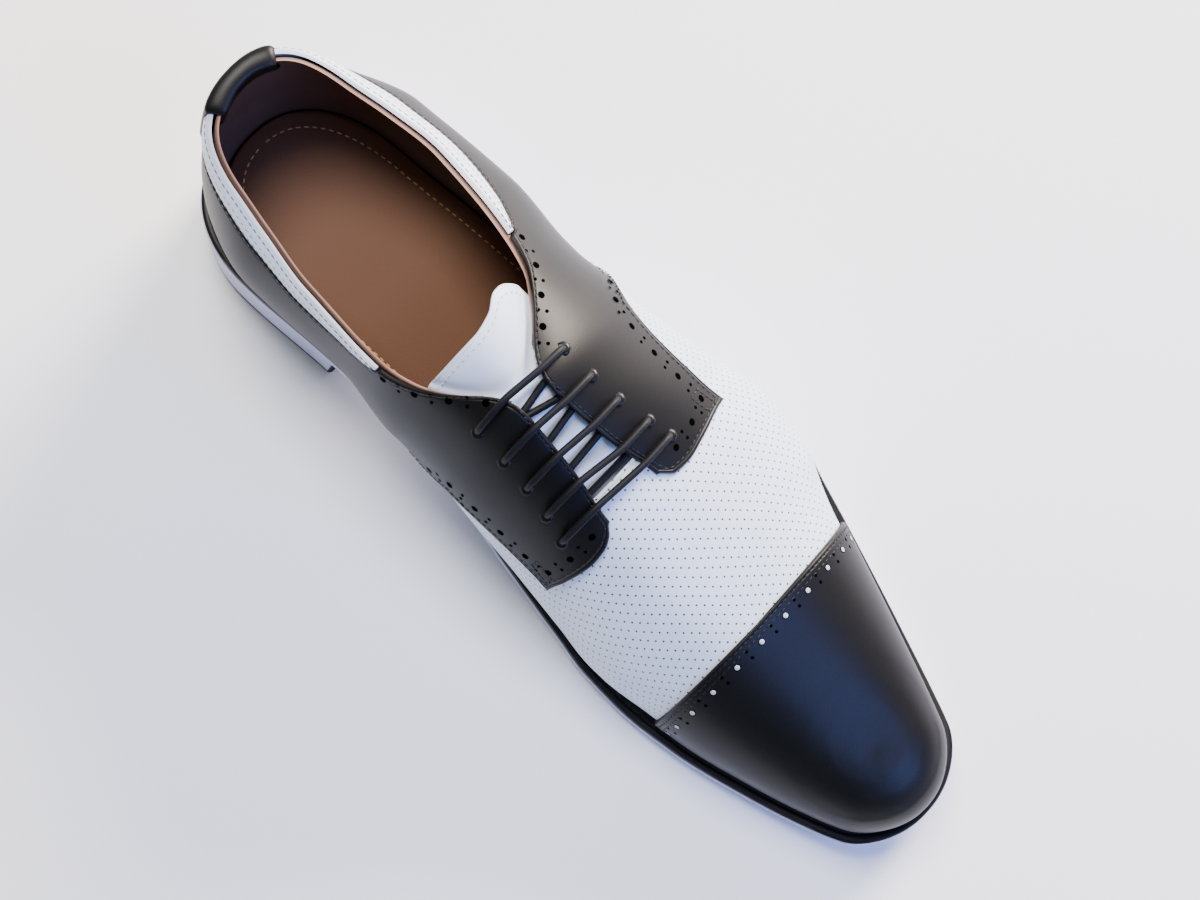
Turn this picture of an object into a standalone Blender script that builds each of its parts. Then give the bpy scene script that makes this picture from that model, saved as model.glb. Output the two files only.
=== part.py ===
"""A left cap toe derby shoe in leather, at its real size.

Frame: +Z up, the toe towards -Y, the lateral (outer) side towards +X, the
origin on the floor under the middle of the sole. Lengths are in metres.

Every piece of the upper is cut from one function of the last, last_point().
It takes a share of the length (w, from 0 at the heel's centre to 1 at the
toe's, positive on the lateral side), a share of the way up the wall (v, from
0 at the foot to 1 at the collar or the ridge) and how far out from the lining
the surface lies. The section tables hold shares of the named sizes.
"""
import math

import bmesh
import bpy
import numpy as np

# Sizes of the sole
LENGTH = 0.305
BALL_WIDTH = 0.104
TOP_LIFT = 0.005
HEEL_BLOCK = 0.0165
OUTSOLE = 0.0055
WELT = 0.0024
WELT_SHOW = 0.0036
WELT_SETBACK = 0.0012
WELT_STRIP = 0.013
TOE_SPRING = 0.0075
HEEL_FLARE = 0.0006
BREAST_AT = 0.233
EDGE_ROUND = 0.0007
HEEL_CENTRE = 0.002
TOE_CENTRE = -0.004
HEEL_ROUND = 0.038
TOE_ROUND = 0.014
HEEL_SQUARENESS = 2.3
TOE_SQUARENESS = 2.2

# Sizes of the upper
INSTEP_HEIGHT = 0.092
COLLAR_HEIGHT = 0.086
COLLAR_ROUND = 0.026
COLLAR_SQUARENESS = 2.1
VAMP_WALL = 0.0016
OVERLAY = 0.0013
TAB_WALL = 0.0012
INSOLE = 0.003
TONGUE_WALL = 0.0016
TONGUE_HALF_WIDTH = 0.0215
TONGUE_DROP = 0.0014
LACE = 0.0025
CLEARANCE = 0.0003

# Places along the sole's length, as shares of it
TAB_AT = 0.018
BAND_END_AT = 0.305
COLLAR_FRONT_AT = 0.395
THROAT_TOP_AT = 0.425
THROAT_BASE_AT = 0.530
FACING_FRONT_AT = 0.566
CAP_SEAM_AT = 0.728
CAP_SEAM_BOW = 0.010
QUARTER_FOOT_AT = 0.340
RIDGE_BREAK_AT = 0.780
TONGUE_FOOT_AT = 0.565

HEEL_PITCH = TOP_LIFT + HEEL_BLOCK + 2 * CLEARANCE
SEAT = OUTSOLE + WELT + CLEARANCE
OVERLAY_IN = VAMP_WALL + CLEARANCE
OVERLAY_OUT = OVERLAY_IN + OVERLAY


def table(names, *rows):
    """Named columns of a section table, a row for each section."""
    return {name: np.array([row[k] for row in rows]) for k, name in enumerate(names.split())}


# The sole's half widths are shares of BALL_WIDTH, the upper's foot stands in by
# a share of WELT_SHOW, and the last two columns are shares of pitch and spring.
SOLE = table(
    "along medial lateral show heel toe",
    (0.000, 0.335, 0.335, 0.85, 1.00, 0.00),
    (0.130, 0.330, 0.347, 0.75, 1.00, 0.00),
    (0.230, 0.311, 0.368, 0.60, 1.00, 0.00),
    (0.345, 0.300, 0.398, 0.60, 0.84, 0.00),
    (0.443, 0.336, 0.450, 0.75, 0.47, 0.00),
    (0.525, 0.374, 0.514, 0.85, 0.14, 0.00),
    (0.597, 0.407, 0.566, 0.90, 0.00, 0.00),
    (0.646, 0.430, 0.561, 0.95, 0.00, 0.00),
    (0.695, 0.434, 0.519, 1.00, 0.00, 0.00),
    (0.764, 0.413, 0.454, 1.00, 0.00, 0.03),
    (0.852, 0.354, 0.363, 1.00, 0.00, 0.22),
    (0.934, 0.278, 0.271, 1.00, 0.00, 0.60),
    (1.000, 0.187, 0.187, 1.00, 0.00, 1.00))

# The collar from the heel to the top of the throat. Centre and half widths are
# shares of BALL_WIDTH, heights of COLLAR_HEIGHT.
COLLAR = table(
    "along top_along centre medial lateral height",
    (0.000, 0.024, 0.0450, 0.170, 0.152, 1.000),
    (0.040, 0.049, 0.0430, 0.187, 0.166, 0.975),
    (0.085, 0.090, 0.0420, 0.208, 0.188, 0.925),
    (0.135, 0.136, 0.0380, 0.230, 0.222, 0.880),
    (0.200, 0.198, 0.0280, 0.252, 0.250, 0.860),
    (0.260, 0.255, 0.0100, 0.250, 0.248, 0.885),
    (0.305, 0.300, -0.010, 0.238, 0.240, 0.920),
    (0.340, 0.335, -0.030, 0.205, 0.225, 0.960),
    (0.370, 0.365, -0.045, 0.155, 0.175, 1.005),
    (0.395, 0.392, -0.050, 0.090, 0.100, 1.040),
    (0.425, 0.420, -0.052, 0.000, 0.000, 1.068))

# The ridge over the instep and the toe, as shares of INSTEP_HEIGHT and BALL_WIDTH.
RIDGE = table(
    "along height centre",
    (0.425, 1.000, -0.052),
    (0.490, 0.885, -0.045),
    (0.560, 0.745, -0.038),
    (0.610, 0.665, -0.036),
    (0.660, 0.600, -0.034),
    (0.740, 0.515, -0.032),
    (0.800, 0.465, -0.036),
    (0.860, 0.415, -0.038),
    (0.920, 0.352, -0.040))

# How full the wall's section is on each side, how far it closes over (radians), and
# how far it leans out over the foot on each side, as a share of BALL_WIDTH.
WALL = table(
    "along full_medial full_lateral closing medial lateral",
    (0.000, 2.00, 2.00, 1.00, 0.005, 0.005),
    (0.060, 2.00, 2.00, 1.00, 0.012, 0.030),
    (0.130, 2.00, 2.00, 1.00, 0.036, 0.082),
    (0.250, 2.00, 2.00, 1.00, 0.034, 0.083),
    (0.345, 2.20, 1.95, 1.20, 0.074, 0.050),
    (0.430, 2.50, 1.85, 1.57, 0.074, 0.074),
    (0.525, 2.75, 1.95, 1.57, 0.052, 0.068),
    (0.610, 2.75, 2.10, 1.57, 0.038, 0.053),
    (0.670, 2.60, 2.20, 1.57, 0.032, 0.032),
    (0.730, 2.40, 2.40, 1.57, 0.008, 0.012),
    (1.000, 2.50, 2.50, 1.57, 0.010, 0.010))

# Seam lines on the wall: the quarter's lower edge on each side and the edge above
# it, which is the collar band's lower edge and then the throat.
SEAMS = table(
    "along low_medial low_lateral high",
    (0.000, 0.14, 0.14, 0.800),
    (0.200, 0.12, 0.12, 0.800),
    (0.270, 0.09, 0.09, 0.880),
    (0.305, 0.07, 0.07, 0.955),
    (0.340, 0.08, 0.08, 0.950),
    (0.370, 0.15, 0.22, 0.960),
    (0.395, 0.19, 0.33, 1.000),
    (0.425, 0.24, 0.42, 0.930),
    (0.500, 0.31, 0.49, 0.918),
    (0.566, 0.35, 0.51, 0.888),
    (0.640, 0.35, 0.47, 0.888),
    (0.728, 0.34, 0.40, 0.888),
    (1.000, 0.34, 0.38, 0.888))

# The facing's front edge bows forward of its corners on each side, as shares of
# LENGTH, from the sharp corner below to the round one at the throat.
FACING_BOW = table(
    "up medial lateral",
    (0.000, 0.000, 0.000),
    (0.350, -0.004, -0.004),
    (0.510, 0.003, -0.006),
    (0.690, 0.008, 0.002),
    (0.780, 0.006, 0.006),
    (0.840, 0.000, 0.004),
    (0.888, -0.010, -0.008),
    (1.000, 0.000, 0.000))

# The five rows of lacing: how far each one's eyelets lie from the facing's edge.
LACE_ROWS = table(
    "medial_along lateral_along medial_setback lateral_setback",
    (0.4135, 0.4185, 0.0136, 0.0105),
    (0.4475, 0.4505, 0.0150, 0.0119),
    (0.4795, 0.4835, 0.0147, 0.0120),
    (0.5100, 0.5175, 0.0151, 0.0128),
    (0.5375, 0.5425, 0.0160, 0.0127))

# The tongue's top edge across its width, and how high it arches between the
# collar's edges, as a share of the opening's half width.
TONGUE_TOP = table(
    "across along",
    (-1.00, 0.348),
    (-0.50, 0.354),
    (0.00, 0.355),
    (0.35, 0.350),
    (0.65, 0.338),
    (1.00, 0.336))
TONGUE_ARCH = table(
    "along rise",
    (0.330, 0.72),
    (0.370, 0.62),
    (0.395, 0.46),
    (0.425, 0.00))

STATIONS = (
    0.0, 0.0015, 0.005, 0.011, TAB_AT, 0.035, 0.060, 0.095, 0.135, 0.185, BREAST_AT, 0.270,
    BAND_END_AT, QUARTER_FOOT_AT, 0.370, COLLAR_FRONT_AT, THROAT_TOP_AT, 0.460, 0.495,
    THROAT_BASE_AT, FACING_FRONT_AT, 0.605, 0.645, 0.685, CAP_SEAM_AT, 0.770,
    0.810, 0.850, 0.885, 0.915, 0.940, 0.960, 0.976, 0.988, 0.996, 0.999, 1.0)
LOW_ROW, HIGH_ROW, ROWS = 2, 7, 9
LAST_STATION = len(STATIONS) - 1


def read(tab, column, at):
    """A smooth line through a column that never overshoots its rows."""
    x = next(iter(tab.values()))
    y = tab[column]
    at = np.clip(np.asarray(at, float), x[0], x[-1])
    step = np.diff(x)
    slope = np.diff(y) / step
    tangent = np.zeros(len(x))
    tangent[0], tangent[-1] = slope[0], slope[-1]
    for k in range(1, len(x) - 1):
        if slope[k - 1] * slope[k] > 0:
            before = 2 * step[k] + step[k - 1]
            after = step[k] + 2 * step[k - 1]
            tangent[k] = (before + after) / (before / slope[k - 1] + after / slope[k])
    i = np.clip(np.searchsorted(x, at, side="right") - 1, 0, len(x) - 2)
    t = (at - x[i]) / step[i]
    return ((1 + 2 * t) * (1 - t) ** 2 * y[i] + t * (1 - t) ** 2 * step[i] * tangent[i]
            + t * t * (3 - 2 * t) * y[i + 1] + t * t * (t - 1) * step[i] * tangent[i + 1])


def ease(start, end, at):
    """0 before start, 1 after end, and a soft step between them."""
    t = np.clip((np.asarray(at, float) - start) / (end - start), 0, 1)
    return t * t * (3 - 2 * t)


def end_round(distance, reach, squareness):
    """Share of the full width at a distance from a rounded end."""
    q = np.clip(1 - distance / reach, 0, 1)
    return np.clip(1 - q ** squareness, 0, 1) ** (1 / squareness)


def plan(w, inset_of):
    """Point of the plan outline, the outline's inset being a function of the share."""
    t = np.abs(w)
    lateral = w > 0
    heel_inset = inset_of(0.0)
    toe_inset = inset_of(1.0)
    y = heel_inset + (LENGTH - heel_inset - toe_inset) * t
    half = np.where(lateral, read(SOLE, "lateral", t), read(SOLE, "medial", t)) * BALL_WIDTH
    half = half - inset_of(t)
    half = half * end_round(y - heel_inset, HEEL_ROUND, HEEL_SQUARENESS)
    half = half * end_round(LENGTH - toe_inset - y, TOE_ROUND, TOE_SQUARENESS)
    centre = HEEL_CENTRE + (TOE_CENTRE - HEEL_CENTRE) * t
    return centre + np.where(lateral, half, -half), y


def level(value):
    """An inset that is the same all round."""
    return lambda t: value + 0 * np.asarray(t, float)


def foot_inset(out):
    """How far the upper's foot stands in from the sole's edge."""
    return lambda t: WELT_SHOW * read(SOLE, "show", t) + OVERLAY_OUT - out


def floor_line(t):
    """Height of the outsole's underside."""
    return HEEL_PITCH * read(SOLE, "heel", t) + TOE_SPRING * read(SOLE, "toe", t)


def foot_height(t):
    """Height of the upper's foot, just above the welt."""
    return floor_line(t) + SEAT + CLEARANCE


def last_point(w, v, out):
    """Point of the wall, as x, distance from the heel, height."""
    w, v = np.broadcast_arrays(np.asarray(w, float), np.asarray(v, float))
    t = np.abs(w)
    lateral = w > 0
    side = np.where(lateral, 1.0, -1.0)
    inset_of = foot_inset(out)
    foot_x, foot_y = plan(w, inset_of)
    foot_z = foot_height(foot_y / LENGTH)
    behind = t < THROAT_TOP_AT
    q = np.clip((t - RIDGE_BREAK_AT) / (1 - RIDGE_BREAK_AT), 0, 1)
    ridge_t = np.minimum(t, RIDGE_BREAK_AT) + (1 - RIDGE_BREAK_AT) * (q - 0.5 * q * q)
    top_t = np.where(behind, read(COLLAR, "top_along", t), ridge_t)
    lift = ease(0.30, THROAT_TOP_AT, t)
    half = np.where(lateral, read(COLLAR, "lateral", t), read(COLLAR, "medial", t)) * BALL_WIDTH
    half = np.where(behind, half + out * (1 - lift), 0)
    half = half * end_round(t * LENGTH, COLLAR_ROUND, COLLAR_SQUARENESS)
    centre = np.where(behind, read(COLLAR, "centre", t), read(RIDGE, "centre", top_t)) * BALL_WIDTH
    height = np.where(behind, read(COLLAR, "height", t) * COLLAR_HEIGHT,
                      read(RIDGE, "height", top_t) * INSTEP_HEIGHT)
    top_x = centre + side * half
    top_y = top_t * LENGTH - out * (1 - ease(0.0, 0.10, t))
    top_z = height + out * lift
    power = 2 / np.where(lateral, read(WALL, "full_lateral", t), read(WALL, "full_medial", t))
    closing = read(WALL, "closing", t)
    across = (1 - np.cos(v * closing) ** power) / (1 - np.cos(closing) ** power)
    up = (np.sin(v * closing) / np.sin(closing)) ** power
    lean = np.where(lateral, read(WALL, "lateral", t), read(WALL, "medial", t)) * BALL_WIDTH
    lean = lean * np.sin(np.pi * np.clip(up, 0, 1) ** 0.8)
    step = 1e-4
    x0, y0 = plan(np.clip(t - step, 0, 1) * side, inset_of)
    x1, y1 = plan(np.clip(t + step, 0, 1) * side, inset_of)
    run = np.hypot(x1 - x0, y1 - y0) + 1e-12
    x = foot_x + (top_x - foot_x) * across + side * (y1 - y0) / run * lean
    y = foot_y + (top_y - foot_y) * across - side * (x1 - x0) / run * lean
    z = foot_z + (top_z - foot_z) * up
    return np.stack([x, y, z], -1)


def sole_middle():
    """Middle of the sole's box, which the part is centred on."""
    w = np.concatenate([-np.linspace(1, 1e-6, 400), np.linspace(1e-6, 1, 400)])
    x, y = plan(w, level(0.0))
    return (x.min() + x.max()) / 2, (LENGTH - HEEL_FLARE) / 2


MIDDLE_X, MIDDLE_Y = sole_middle()


def place(points):
    """From x, distance from the heel, height to the part's own frame."""
    points = np.asarray(points, float)
    return np.stack([points[..., 0] - MIDDLE_X, MIDDLE_Y - points[..., 1], points[..., 2]], -1)


def clear_scene():
    for obj in list(bpy.data.objects):
        bpy.data.objects.remove(obj, do_unlink=True)


def material(name, colour, roughness, metallic=0.0):
    made = bpy.data.materials.new(name)
    made.use_nodes = True
    shader = made.node_tree.nodes["Principled BSDF"]
    shader.inputs["Base Color"].default_value = (*colour, 1.0)
    shader.inputs["Roughness"].default_value = roughness
    shader.inputs["Metallic"].default_value = metallic
    return made


def add_piece(name, points, faces, dressed, sharp_angle=40):
    """A closed piece from points and faces, its faces turned outwards."""
    mesh = bpy.data.meshes.new(name)
    mesh.from_pydata([tuple(p) for p in points], [], faces)
    shape = bmesh.new()
    shape.from_mesh(mesh)
    bmesh.ops.remove_doubles(shape, verts=shape.verts, dist=1e-6)
    bmesh.ops.recalc_face_normals(shape, faces=shape.faces)
    shape.to_mesh(mesh)
    shape.free()
    mesh.materials.append(dressed)
    mesh.shade_smooth()
    mesh.set_sharp_from_angle(angle=math.radians(sharp_angle))
    obj = bpy.data.objects.new(name, mesh)
    bpy.context.scene.collection.objects.link(obj)
    return obj


def split(a, b, c, d, flip):
    """Two triangles of a cell, so that layers over each other bend alike."""
    if flip:
        return [(a, b, d), (b, c, d)]
    return [(a, b, c), (a, c, d)]


def skin_pair(outer, inner, cells):
    """Closed body between two skins that share one layout of cells."""
    count = len(outer)
    faces = []
    edges = set()
    for cell in cells:
        for tri in split(*cell):
            if len(set(tri)) < 3:
                continue
            faces.append(tri)
            faces.append(tuple(k + count for k in reversed(tri)))
            edges.update((tri[k], tri[(k + 1) % 3]) for k in range(3))
    for a, b in sorted(edges):
        if (b, a) not in edges:
            faces.append((b, a, a + count))
            faces.append((b, a + count, b + count))
    return np.concatenate([outer, inner]), faces


def grid_pair(outer, inner, ring=False):
    """Closed body between two grids of points, a ring where its rows close up."""
    across, along = outer.shape[:2]
    cells = []
    for i in range(across if ring else across - 1):
        for j in range(along - 1):
            a = i * along + j
            b = (i + 1) % across * along + j
            cells.append((a, b, b + 1, a + 1, False))
    return skin_pair(outer.reshape(-1, 3), inner.reshape(-1, 3), cells)


def share_up(t, row, side):
    """Share of the wall at a row, for the station at t."""
    low = float(read(SEAMS, "low_lateral" if side > 0 else "low_medial", t))
    high = float(read(SEAMS, "high", t))
    if row <= LOW_ROW:
        return low * row / LOW_ROW
    if row <= HIGH_ROW:
        return low + (high - low) * (row - LOW_ROW) / (HIGH_ROW - LOW_ROW)
    return high + (1 - high) * (row - HIGH_ROW) / (ROWS - HIGH_ROW)


def knot(column, row):
    """Where a grid line of the upper crosses a row: w and v."""
    t = STATIONS[abs(column)]
    v = share_up(t, row, column)
    if t == FACING_FRONT_AT:
        t = t + float(read(FACING_BOW, "lateral" if column > 0 else "medial", v))
    if t == CAP_SEAM_AT:
        t = t + CAP_SEAM_BOW * (1 - v)
    return (t if column > 0 else -t), v


def upper_key(column, row):
    """One name for points that two cells or the two sides of the upper share."""
    if abs(column) == LAST_STATION:
        column = LAST_STATION
    if row > HIGH_ROW and STATIONS[abs(column)] == COLLAR_FRONT_AT:
        row = HIGH_ROW
    if row == ROWS and STATIONS[abs(column)] >= THROAT_TOP_AT:
        column = abs(column)
    return column, row


def upper_shell(name, chosen, inner_out, outer_out, dressed, nudge=None):
    """A piece of the upper: the cells that chosen() picks, between two skins."""
    keys = {}
    places = []
    cells = []
    for column in range(-LAST_STATION, LAST_STATION):
        for row in range(ROWS):
            if not chosen(column, row):
                continue
            cell = []
            for c, r in ((column, row), (column + 1, row), (column + 1, row + 1), (column, row + 1)):
                key = upper_key(c, r)
                if key not in keys:
                    keys[key] = len(places)
                    w, v = knot(*key)
                    places.append(nudge(key, w, v) if nudge else (w, v, 0.0))
                cell.append(keys[key])
            cells.append((*cell, column >= 0))
    w, v, aside = np.array(places).T
    skins = []
    for out in (outer_out, inner_out):
        points = last_point(w, v, out)
        points[:, 0] += aside
        skins.append(place(points))
    points, faces = skin_pair(*skins, cells)
    return add_piece(name, points, faces, dressed)


def cell_share(column):
    """Shares of the length where a column of cells starts and ends."""
    a, b = abs(column), abs(column + 1)
    return STATIONS[min(a, b)], STATIONS[max(a, b)]


def build_upper(dressed):
    """Vamp and lining as one wall, open at the collar, the throat and underneath."""
    def chosen(column, row):
        near, far = cell_share(column)
        in_throat = near >= COLLAR_FRONT_AT and far <= THROAT_BASE_AT
        return not (in_throat and row >= HIGH_ROW)
    return upper_shell("upper", chosen, 0.0, VAMP_WALL, dressed)


def build_toe_cap(dressed):
    def chosen(column, row):
        return cell_share(column)[0] >= CAP_SEAM_AT
    return upper_shell("toe_cap", chosen, OVERLAY_IN, OVERLAY_OUT, dressed)


def seam_gap(t):
    """Half the gap at a seam between neighbours, as a share of the wall's height."""
    return 0.5 * CLEARANCE / (float(read(COLLAR, "height", t)) * COLLAR_HEIGHT - float(foot_height(t)))


def build_quarter(side, dressed):
    """One side of the back, from the heel seam over the instep to the facing."""
    def chosen(column, row):
        if (column >= 0) != (side > 0):
            return False
        near, far = cell_share(column)
        if far > FACING_FRONT_AT:
            return False
        if row < LOW_ROW and far > QUARTER_FOOT_AT:
            return False
        if row < HIGH_ROW:
            return True
        return BAND_END_AT <= near and far <= COLLAR_FRONT_AT

    def nudge(key, w, v):
        column, row = key
        aside = side * 0.5 * CLEARANCE if column == 0 else 0.0
        if row == HIGH_ROW and abs(w) <= BAND_END_AT:
            v = v - seam_gap(abs(w))
        if row >= HIGH_ROW and abs(w) == BAND_END_AT:
            w = w + side * CLEARANCE / LENGTH
        return w, v, aside
    name = "quarter_lateral" if side > 0 else "quarter_medial"
    return upper_shell(name, chosen, OVERLAY_IN, OVERLAY_OUT, dressed, nudge)


def build_collar_band(dressed):
    """The band round the collar, from one side's throat to the other's."""
    def chosen(column, row):
        return row >= HIGH_ROW and cell_share(column)[1] <= BAND_END_AT

    def nudge(key, w, v):
        if key[1] == HIGH_ROW:
            v = v + seam_gap(abs(w))
        return w, v, 0.0
    return upper_shell("collar_band", chosen, OVERLAY_IN, OVERLAY_OUT, dressed, nudge)


def build_heel_tab(dressed):
    """A short tab folded over the collar at the heel."""
    outside = OVERLAY_OUT + CLEARANCE
    inside = -CLEARANCE
    reach = STATIONS.index(TAB_AT)
    outer_rows = []
    inner_rows = []
    for column in range(-reach, reach + 1):
        w = math.copysign(STATIONS[abs(column)], column)
        over = np.array([0, 0, CLEARANCE + TAB_WALL])
        under = np.array([0, 0, CLEARANCE])
        outer_path = [last_point(w, v, outside + TAB_WALL) for v in (0.68, 0.84, 1.0)]
        inner_path = [last_point(w, v, outside) for v in (0.68, 0.84, 1.0)]
        outer_path.append(last_point(w, 1.0, outside) + over)
        inner_path.append(last_point(w, 1.0, outside) + under)
        outer_path.append(last_point(w, 1.0, inside) + over)
        inner_path.append(last_point(w, 1.0, inside) + under)
        outer_path.extend(last_point(w, v, inside - TAB_WALL) for v in (1.0, 0.88))
        inner_path.extend(last_point(w, v, inside) for v in (1.0, 0.88))
        outer_rows.append(outer_path)
        inner_rows.append(inner_path)
    points, faces = grid_pair(place(outer_rows), place(inner_rows))
    return add_piece("heel_tab", points, faces, dressed)


def instep_line(t, out):
    """The wall's section from side to side, arched over the opening behind the throat."""
    v = np.linspace(0.45, 1.0, 60)
    medial = last_point(-t, v, out)
    lateral = last_point(t, v, out)[::-1]
    if t >= THROAT_TOP_AT:
        return np.concatenate([medial, lateral])
    inward = np.array([TONGUE_DROP, 0.0, 0.0])
    start, end = medial[-1] + inward, lateral[0] - inward
    across = np.linspace(-1, 1, 41)
    half = max(0.0, 0.5 * (end[0] - start[0]))
    over = start + (end - start) * (1 + across[:, None]) / 2
    over[:, 2] += half * float(read(TONGUE_ARCH, "rise", t)) * (1 - across ** 2) ** 0.7
    if half == 0.0:
        over = 0.5 * (medial[-1] + lateral[0])[None]
    return np.concatenate([medial, over, lateral])


def build_tongue(dressed):
    """The tongue, under both facings and out over the opening."""
    skins = []
    for out in (-TONGUE_DROP, -TONGUE_DROP - TONGUE_WALL):
        rows = []
        for back in np.linspace(0, 1, 17):
            row = []
            for across in np.linspace(-1, 1, 21):
                top = float(read(TONGUE_TOP, "along", across))
                t = top + (TONGUE_FOOT_AT - top) * back
                line = instep_line(t, out)
                x = float(read(RIDGE, "centre", t)) * BALL_WIDTH + across * TONGUE_HALF_WIDTH
                row.append([x] + [float(np.interp(x, line[:, 0], line[:, k])) for k in (1, 2)])
            rows.append(row)
        skins.append(place(rows))
    points, faces = grid_pair(*skins)
    return add_piece("tongue", points, faces, dressed)


def facing_path(t, setback, side, out):
    """The lace's way over one facing, from its eyelet up to the facing's edge."""
    high = share_up(t, HIGH_ROW, side)
    v = np.linspace(high, 0.4, 80)
    wall = last_point(side * t, v, out)
    run = np.concatenate([[0.0], np.cumsum(np.linalg.norm(np.diff(wall, axis=0), axis=1))])
    stops = np.linspace(setback, 0.0, 4)
    return np.stack([np.interp(stops, run, wall[:, k]) for k in range(3)], -1)


def tube(path, radius, sides=8):
    """A closed round bar along a path of points."""
    path = np.asarray(path, float)
    along = np.gradient(path, axis=0)
    points = []
    for at, way in zip(path, along):
        way = way / np.linalg.norm(way)
        across = np.cross(way, (0.0, 0.0, 1.0))
        across = across / np.linalg.norm(across)
        up = np.cross(across, way)
        for k in range(sides):
            turn = 2 * math.pi * k / sides
            points.append(at + radius * (math.cos(turn) * across + math.sin(turn) * up))
    faces = []
    for i in range(len(path) - 1):
        for k in range(sides):
            a = i * sides + k
            b = i * sides + (k + 1) % sides
            faces.append((a, b, b + sides, a + sides))
    last = (len(path) - 1) * sides
    faces.append(tuple(range(sides - 1, -1, -1)))
    faces.append(tuple(last + k for k in range(sides)))
    return points, faces


def build_lace(dressed):
    """Five straight bars with a crossing between each pair, joined to one piece."""
    out = OVERLAY_OUT + 2 * CLEARANCE + LACE / 2
    bars = []
    for k in range(len(LACE_ROWS["medial_along"])):
        medial = facing_path(LACE_ROWS["medial_along"][k], LACE_ROWS["medial_setback"][k], -1, out)
        lateral = facing_path(LACE_ROWS["lateral_along"][k], LACE_ROWS["lateral_setback"][k], 1, out)[::-1]
        bars.append(place(np.concatenate([medial, lateral])))
    crossings = [np.array([bars[k][4], 0.5 * (bars[k][4] + bars[k + 1][3]), bars[k + 1][3]])
                 for k in range(len(bars) - 1)]
    pieces = []
    for k, path in enumerate(bars + crossings):
        radius = LACE / 2 if k < len(bars) else 0.46 * LACE
        points, faces = tube(path, radius)
        pieces.append(add_piece(f"lace_run_{k}", points, faces, dressed))
    lace = pieces[0]
    lace.name = "lace"
    for piece in pieces[1:]:
        joint = lace.modifiers.new(piece.name, "BOOLEAN")
        joint.operation = "UNION"
        joint.solver = "EXACT"
        joint.object = piece
        piece.hide_render = True
        piece.display_type = "WIRE"
    return lace


def strip_solid(name, shares, rows, dressed, sharp_angle=40):
    """A plate between the two side edges: rows of (inset, height) from the
    underside's edge up to the top's edge, read at each share of the length."""
    rings = []
    for t in shares:
        medial = []
        lateral = []
        for inset_of, height_of in rows:
            for w, line in ((-t, medial), (t, lateral)):
                x, y = plan(np.array(w), inset_of)
                line.append((float(x), float(y), float(height_of(y / LENGTH))))
        rings.append(medial + lateral[::-1])
    points = place(rings)
    count = points.shape[1]
    faces = []
    for i in range(len(shares) - 1):
        for k in range(count):
            a = i * count + k
            b = i * count + (k + 1) % count
            faces.append((a, b, b + count, a + count))
    if shares[-1] < 1:
        last = (len(shares) - 1) * count
        for k in range(len(rows) - 1):
            faces.append((last + k, last + k + 1, last + count - 2 - k, last + count - 1 - k))
    return add_piece(name, points.reshape(-1, 3), faces, dressed, sharp_angle)


def build_sole(white, black):
    """The outsole with its raised seat, the welt round it and the heel under it."""
    island = level(WELT_SETBACK + WELT_STRIP + CLEARANCE)
    strip_solid("outsole", STATIONS, (
        (level(EDGE_ROUND), floor_line),
        (level(0.0), lambda t: floor_line(t) + EDGE_ROUND),
        (level(0.0), lambda t: floor_line(t) + OUTSOLE - EDGE_ROUND),
        (level(EDGE_ROUND), lambda t: floor_line(t) + OUTSOLE),
        (island, lambda t: floor_line(t) + OUTSOLE),
        (island, lambda t: floor_line(t) + SEAT)), white)
    build_welt(black)
    heel_shares = [t for t in STATIONS if t <= BREAST_AT]
    strip_solid("heel_block", heel_shares, (
        (level(-HEEL_FLARE), lambda t: TOP_LIFT + CLEARANCE),
        (level(HEEL_FLARE), lambda t: HEEL_PITCH - CLEARANCE)), white)
    strip_solid("top_lift", heel_shares, (
        (level(0.0), lambda t: 0.0),
        (level(-HEEL_FLARE), lambda t: EDGE_ROUND),
        (level(-HEEL_FLARE), lambda t: TOP_LIFT)), black)


def build_welt(dressed):
    """The welt, a flat ring on the outsole's edge under the upper's foot."""
    strip = [-t for t in STATIONS[:0:-1]] + list(STATIONS[:-1])
    under = []
    over = []
    for w in strip:
        for line, height in ((under, OUTSOLE + CLEARANCE), (over, SEAT)):
            row = []
            for inset in (WELT_SETBACK, WELT_SETBACK + WELT_STRIP):
                x, y = plan(np.array(w), level(inset))
                row.append((float(x), float(y), float(floor_line(y / LENGTH)) + height))
            line.append(row)
    points, faces = grid_pair(place(over), place(under), ring=True)
    return add_piece("welt", points, faces, dressed)


def build_insole(dressed):
    """The insole, inside the foot of the upper, on the welt and the seat."""
    def inset_of(t):
        return foot_inset(0.0)(t) + 2 * CLEARANCE
    return strip_solid("insole", STATIONS, (
        (inset_of, foot_height),
        (inset_of, lambda t: foot_height(t) + INSOLE)), dressed)


def main():
    clear_scene()
    black = material("black_calf", (0.012, 0.012, 0.016), 0.32)
    white = material("white_calf", (0.82, 0.85, 0.9), 0.42)
    tan = material("tan_sock", (0.25, 0.13, 0.06), 0.6)
    sole_white = material("white_sole_edge", (0.75, 0.77, 0.85), 0.5)
    rubber = material("black_rubber", (0.02, 0.02, 0.022), 0.6)
    build_sole(sole_white, rubber)
    build_insole(tan)
    build_upper(white)
    build_toe_cap(black)
    build_quarter(1, black)
    build_quarter(-1, black)
    build_collar_band(white)
    build_heel_tab(black)
    build_tongue(white)
    build_lace(rubber)


main()
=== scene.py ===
"""A left cap toe derby shoe in black and white leather, dressed for its render.

Every panel of the upper is drawn on one function of the last, last_point(), so
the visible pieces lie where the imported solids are. Lengths are in metres, the
toe points to -Y, the lateral side to +X, and the floor is at z = 0. A place on
the last is w, the share of the length from the heel, negative on the medial
side, and v, the share of the way up the wall.
"""
import logging
import math
from dataclasses import dataclass, field
from enum import Enum
from typing import Callable, Optional

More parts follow.
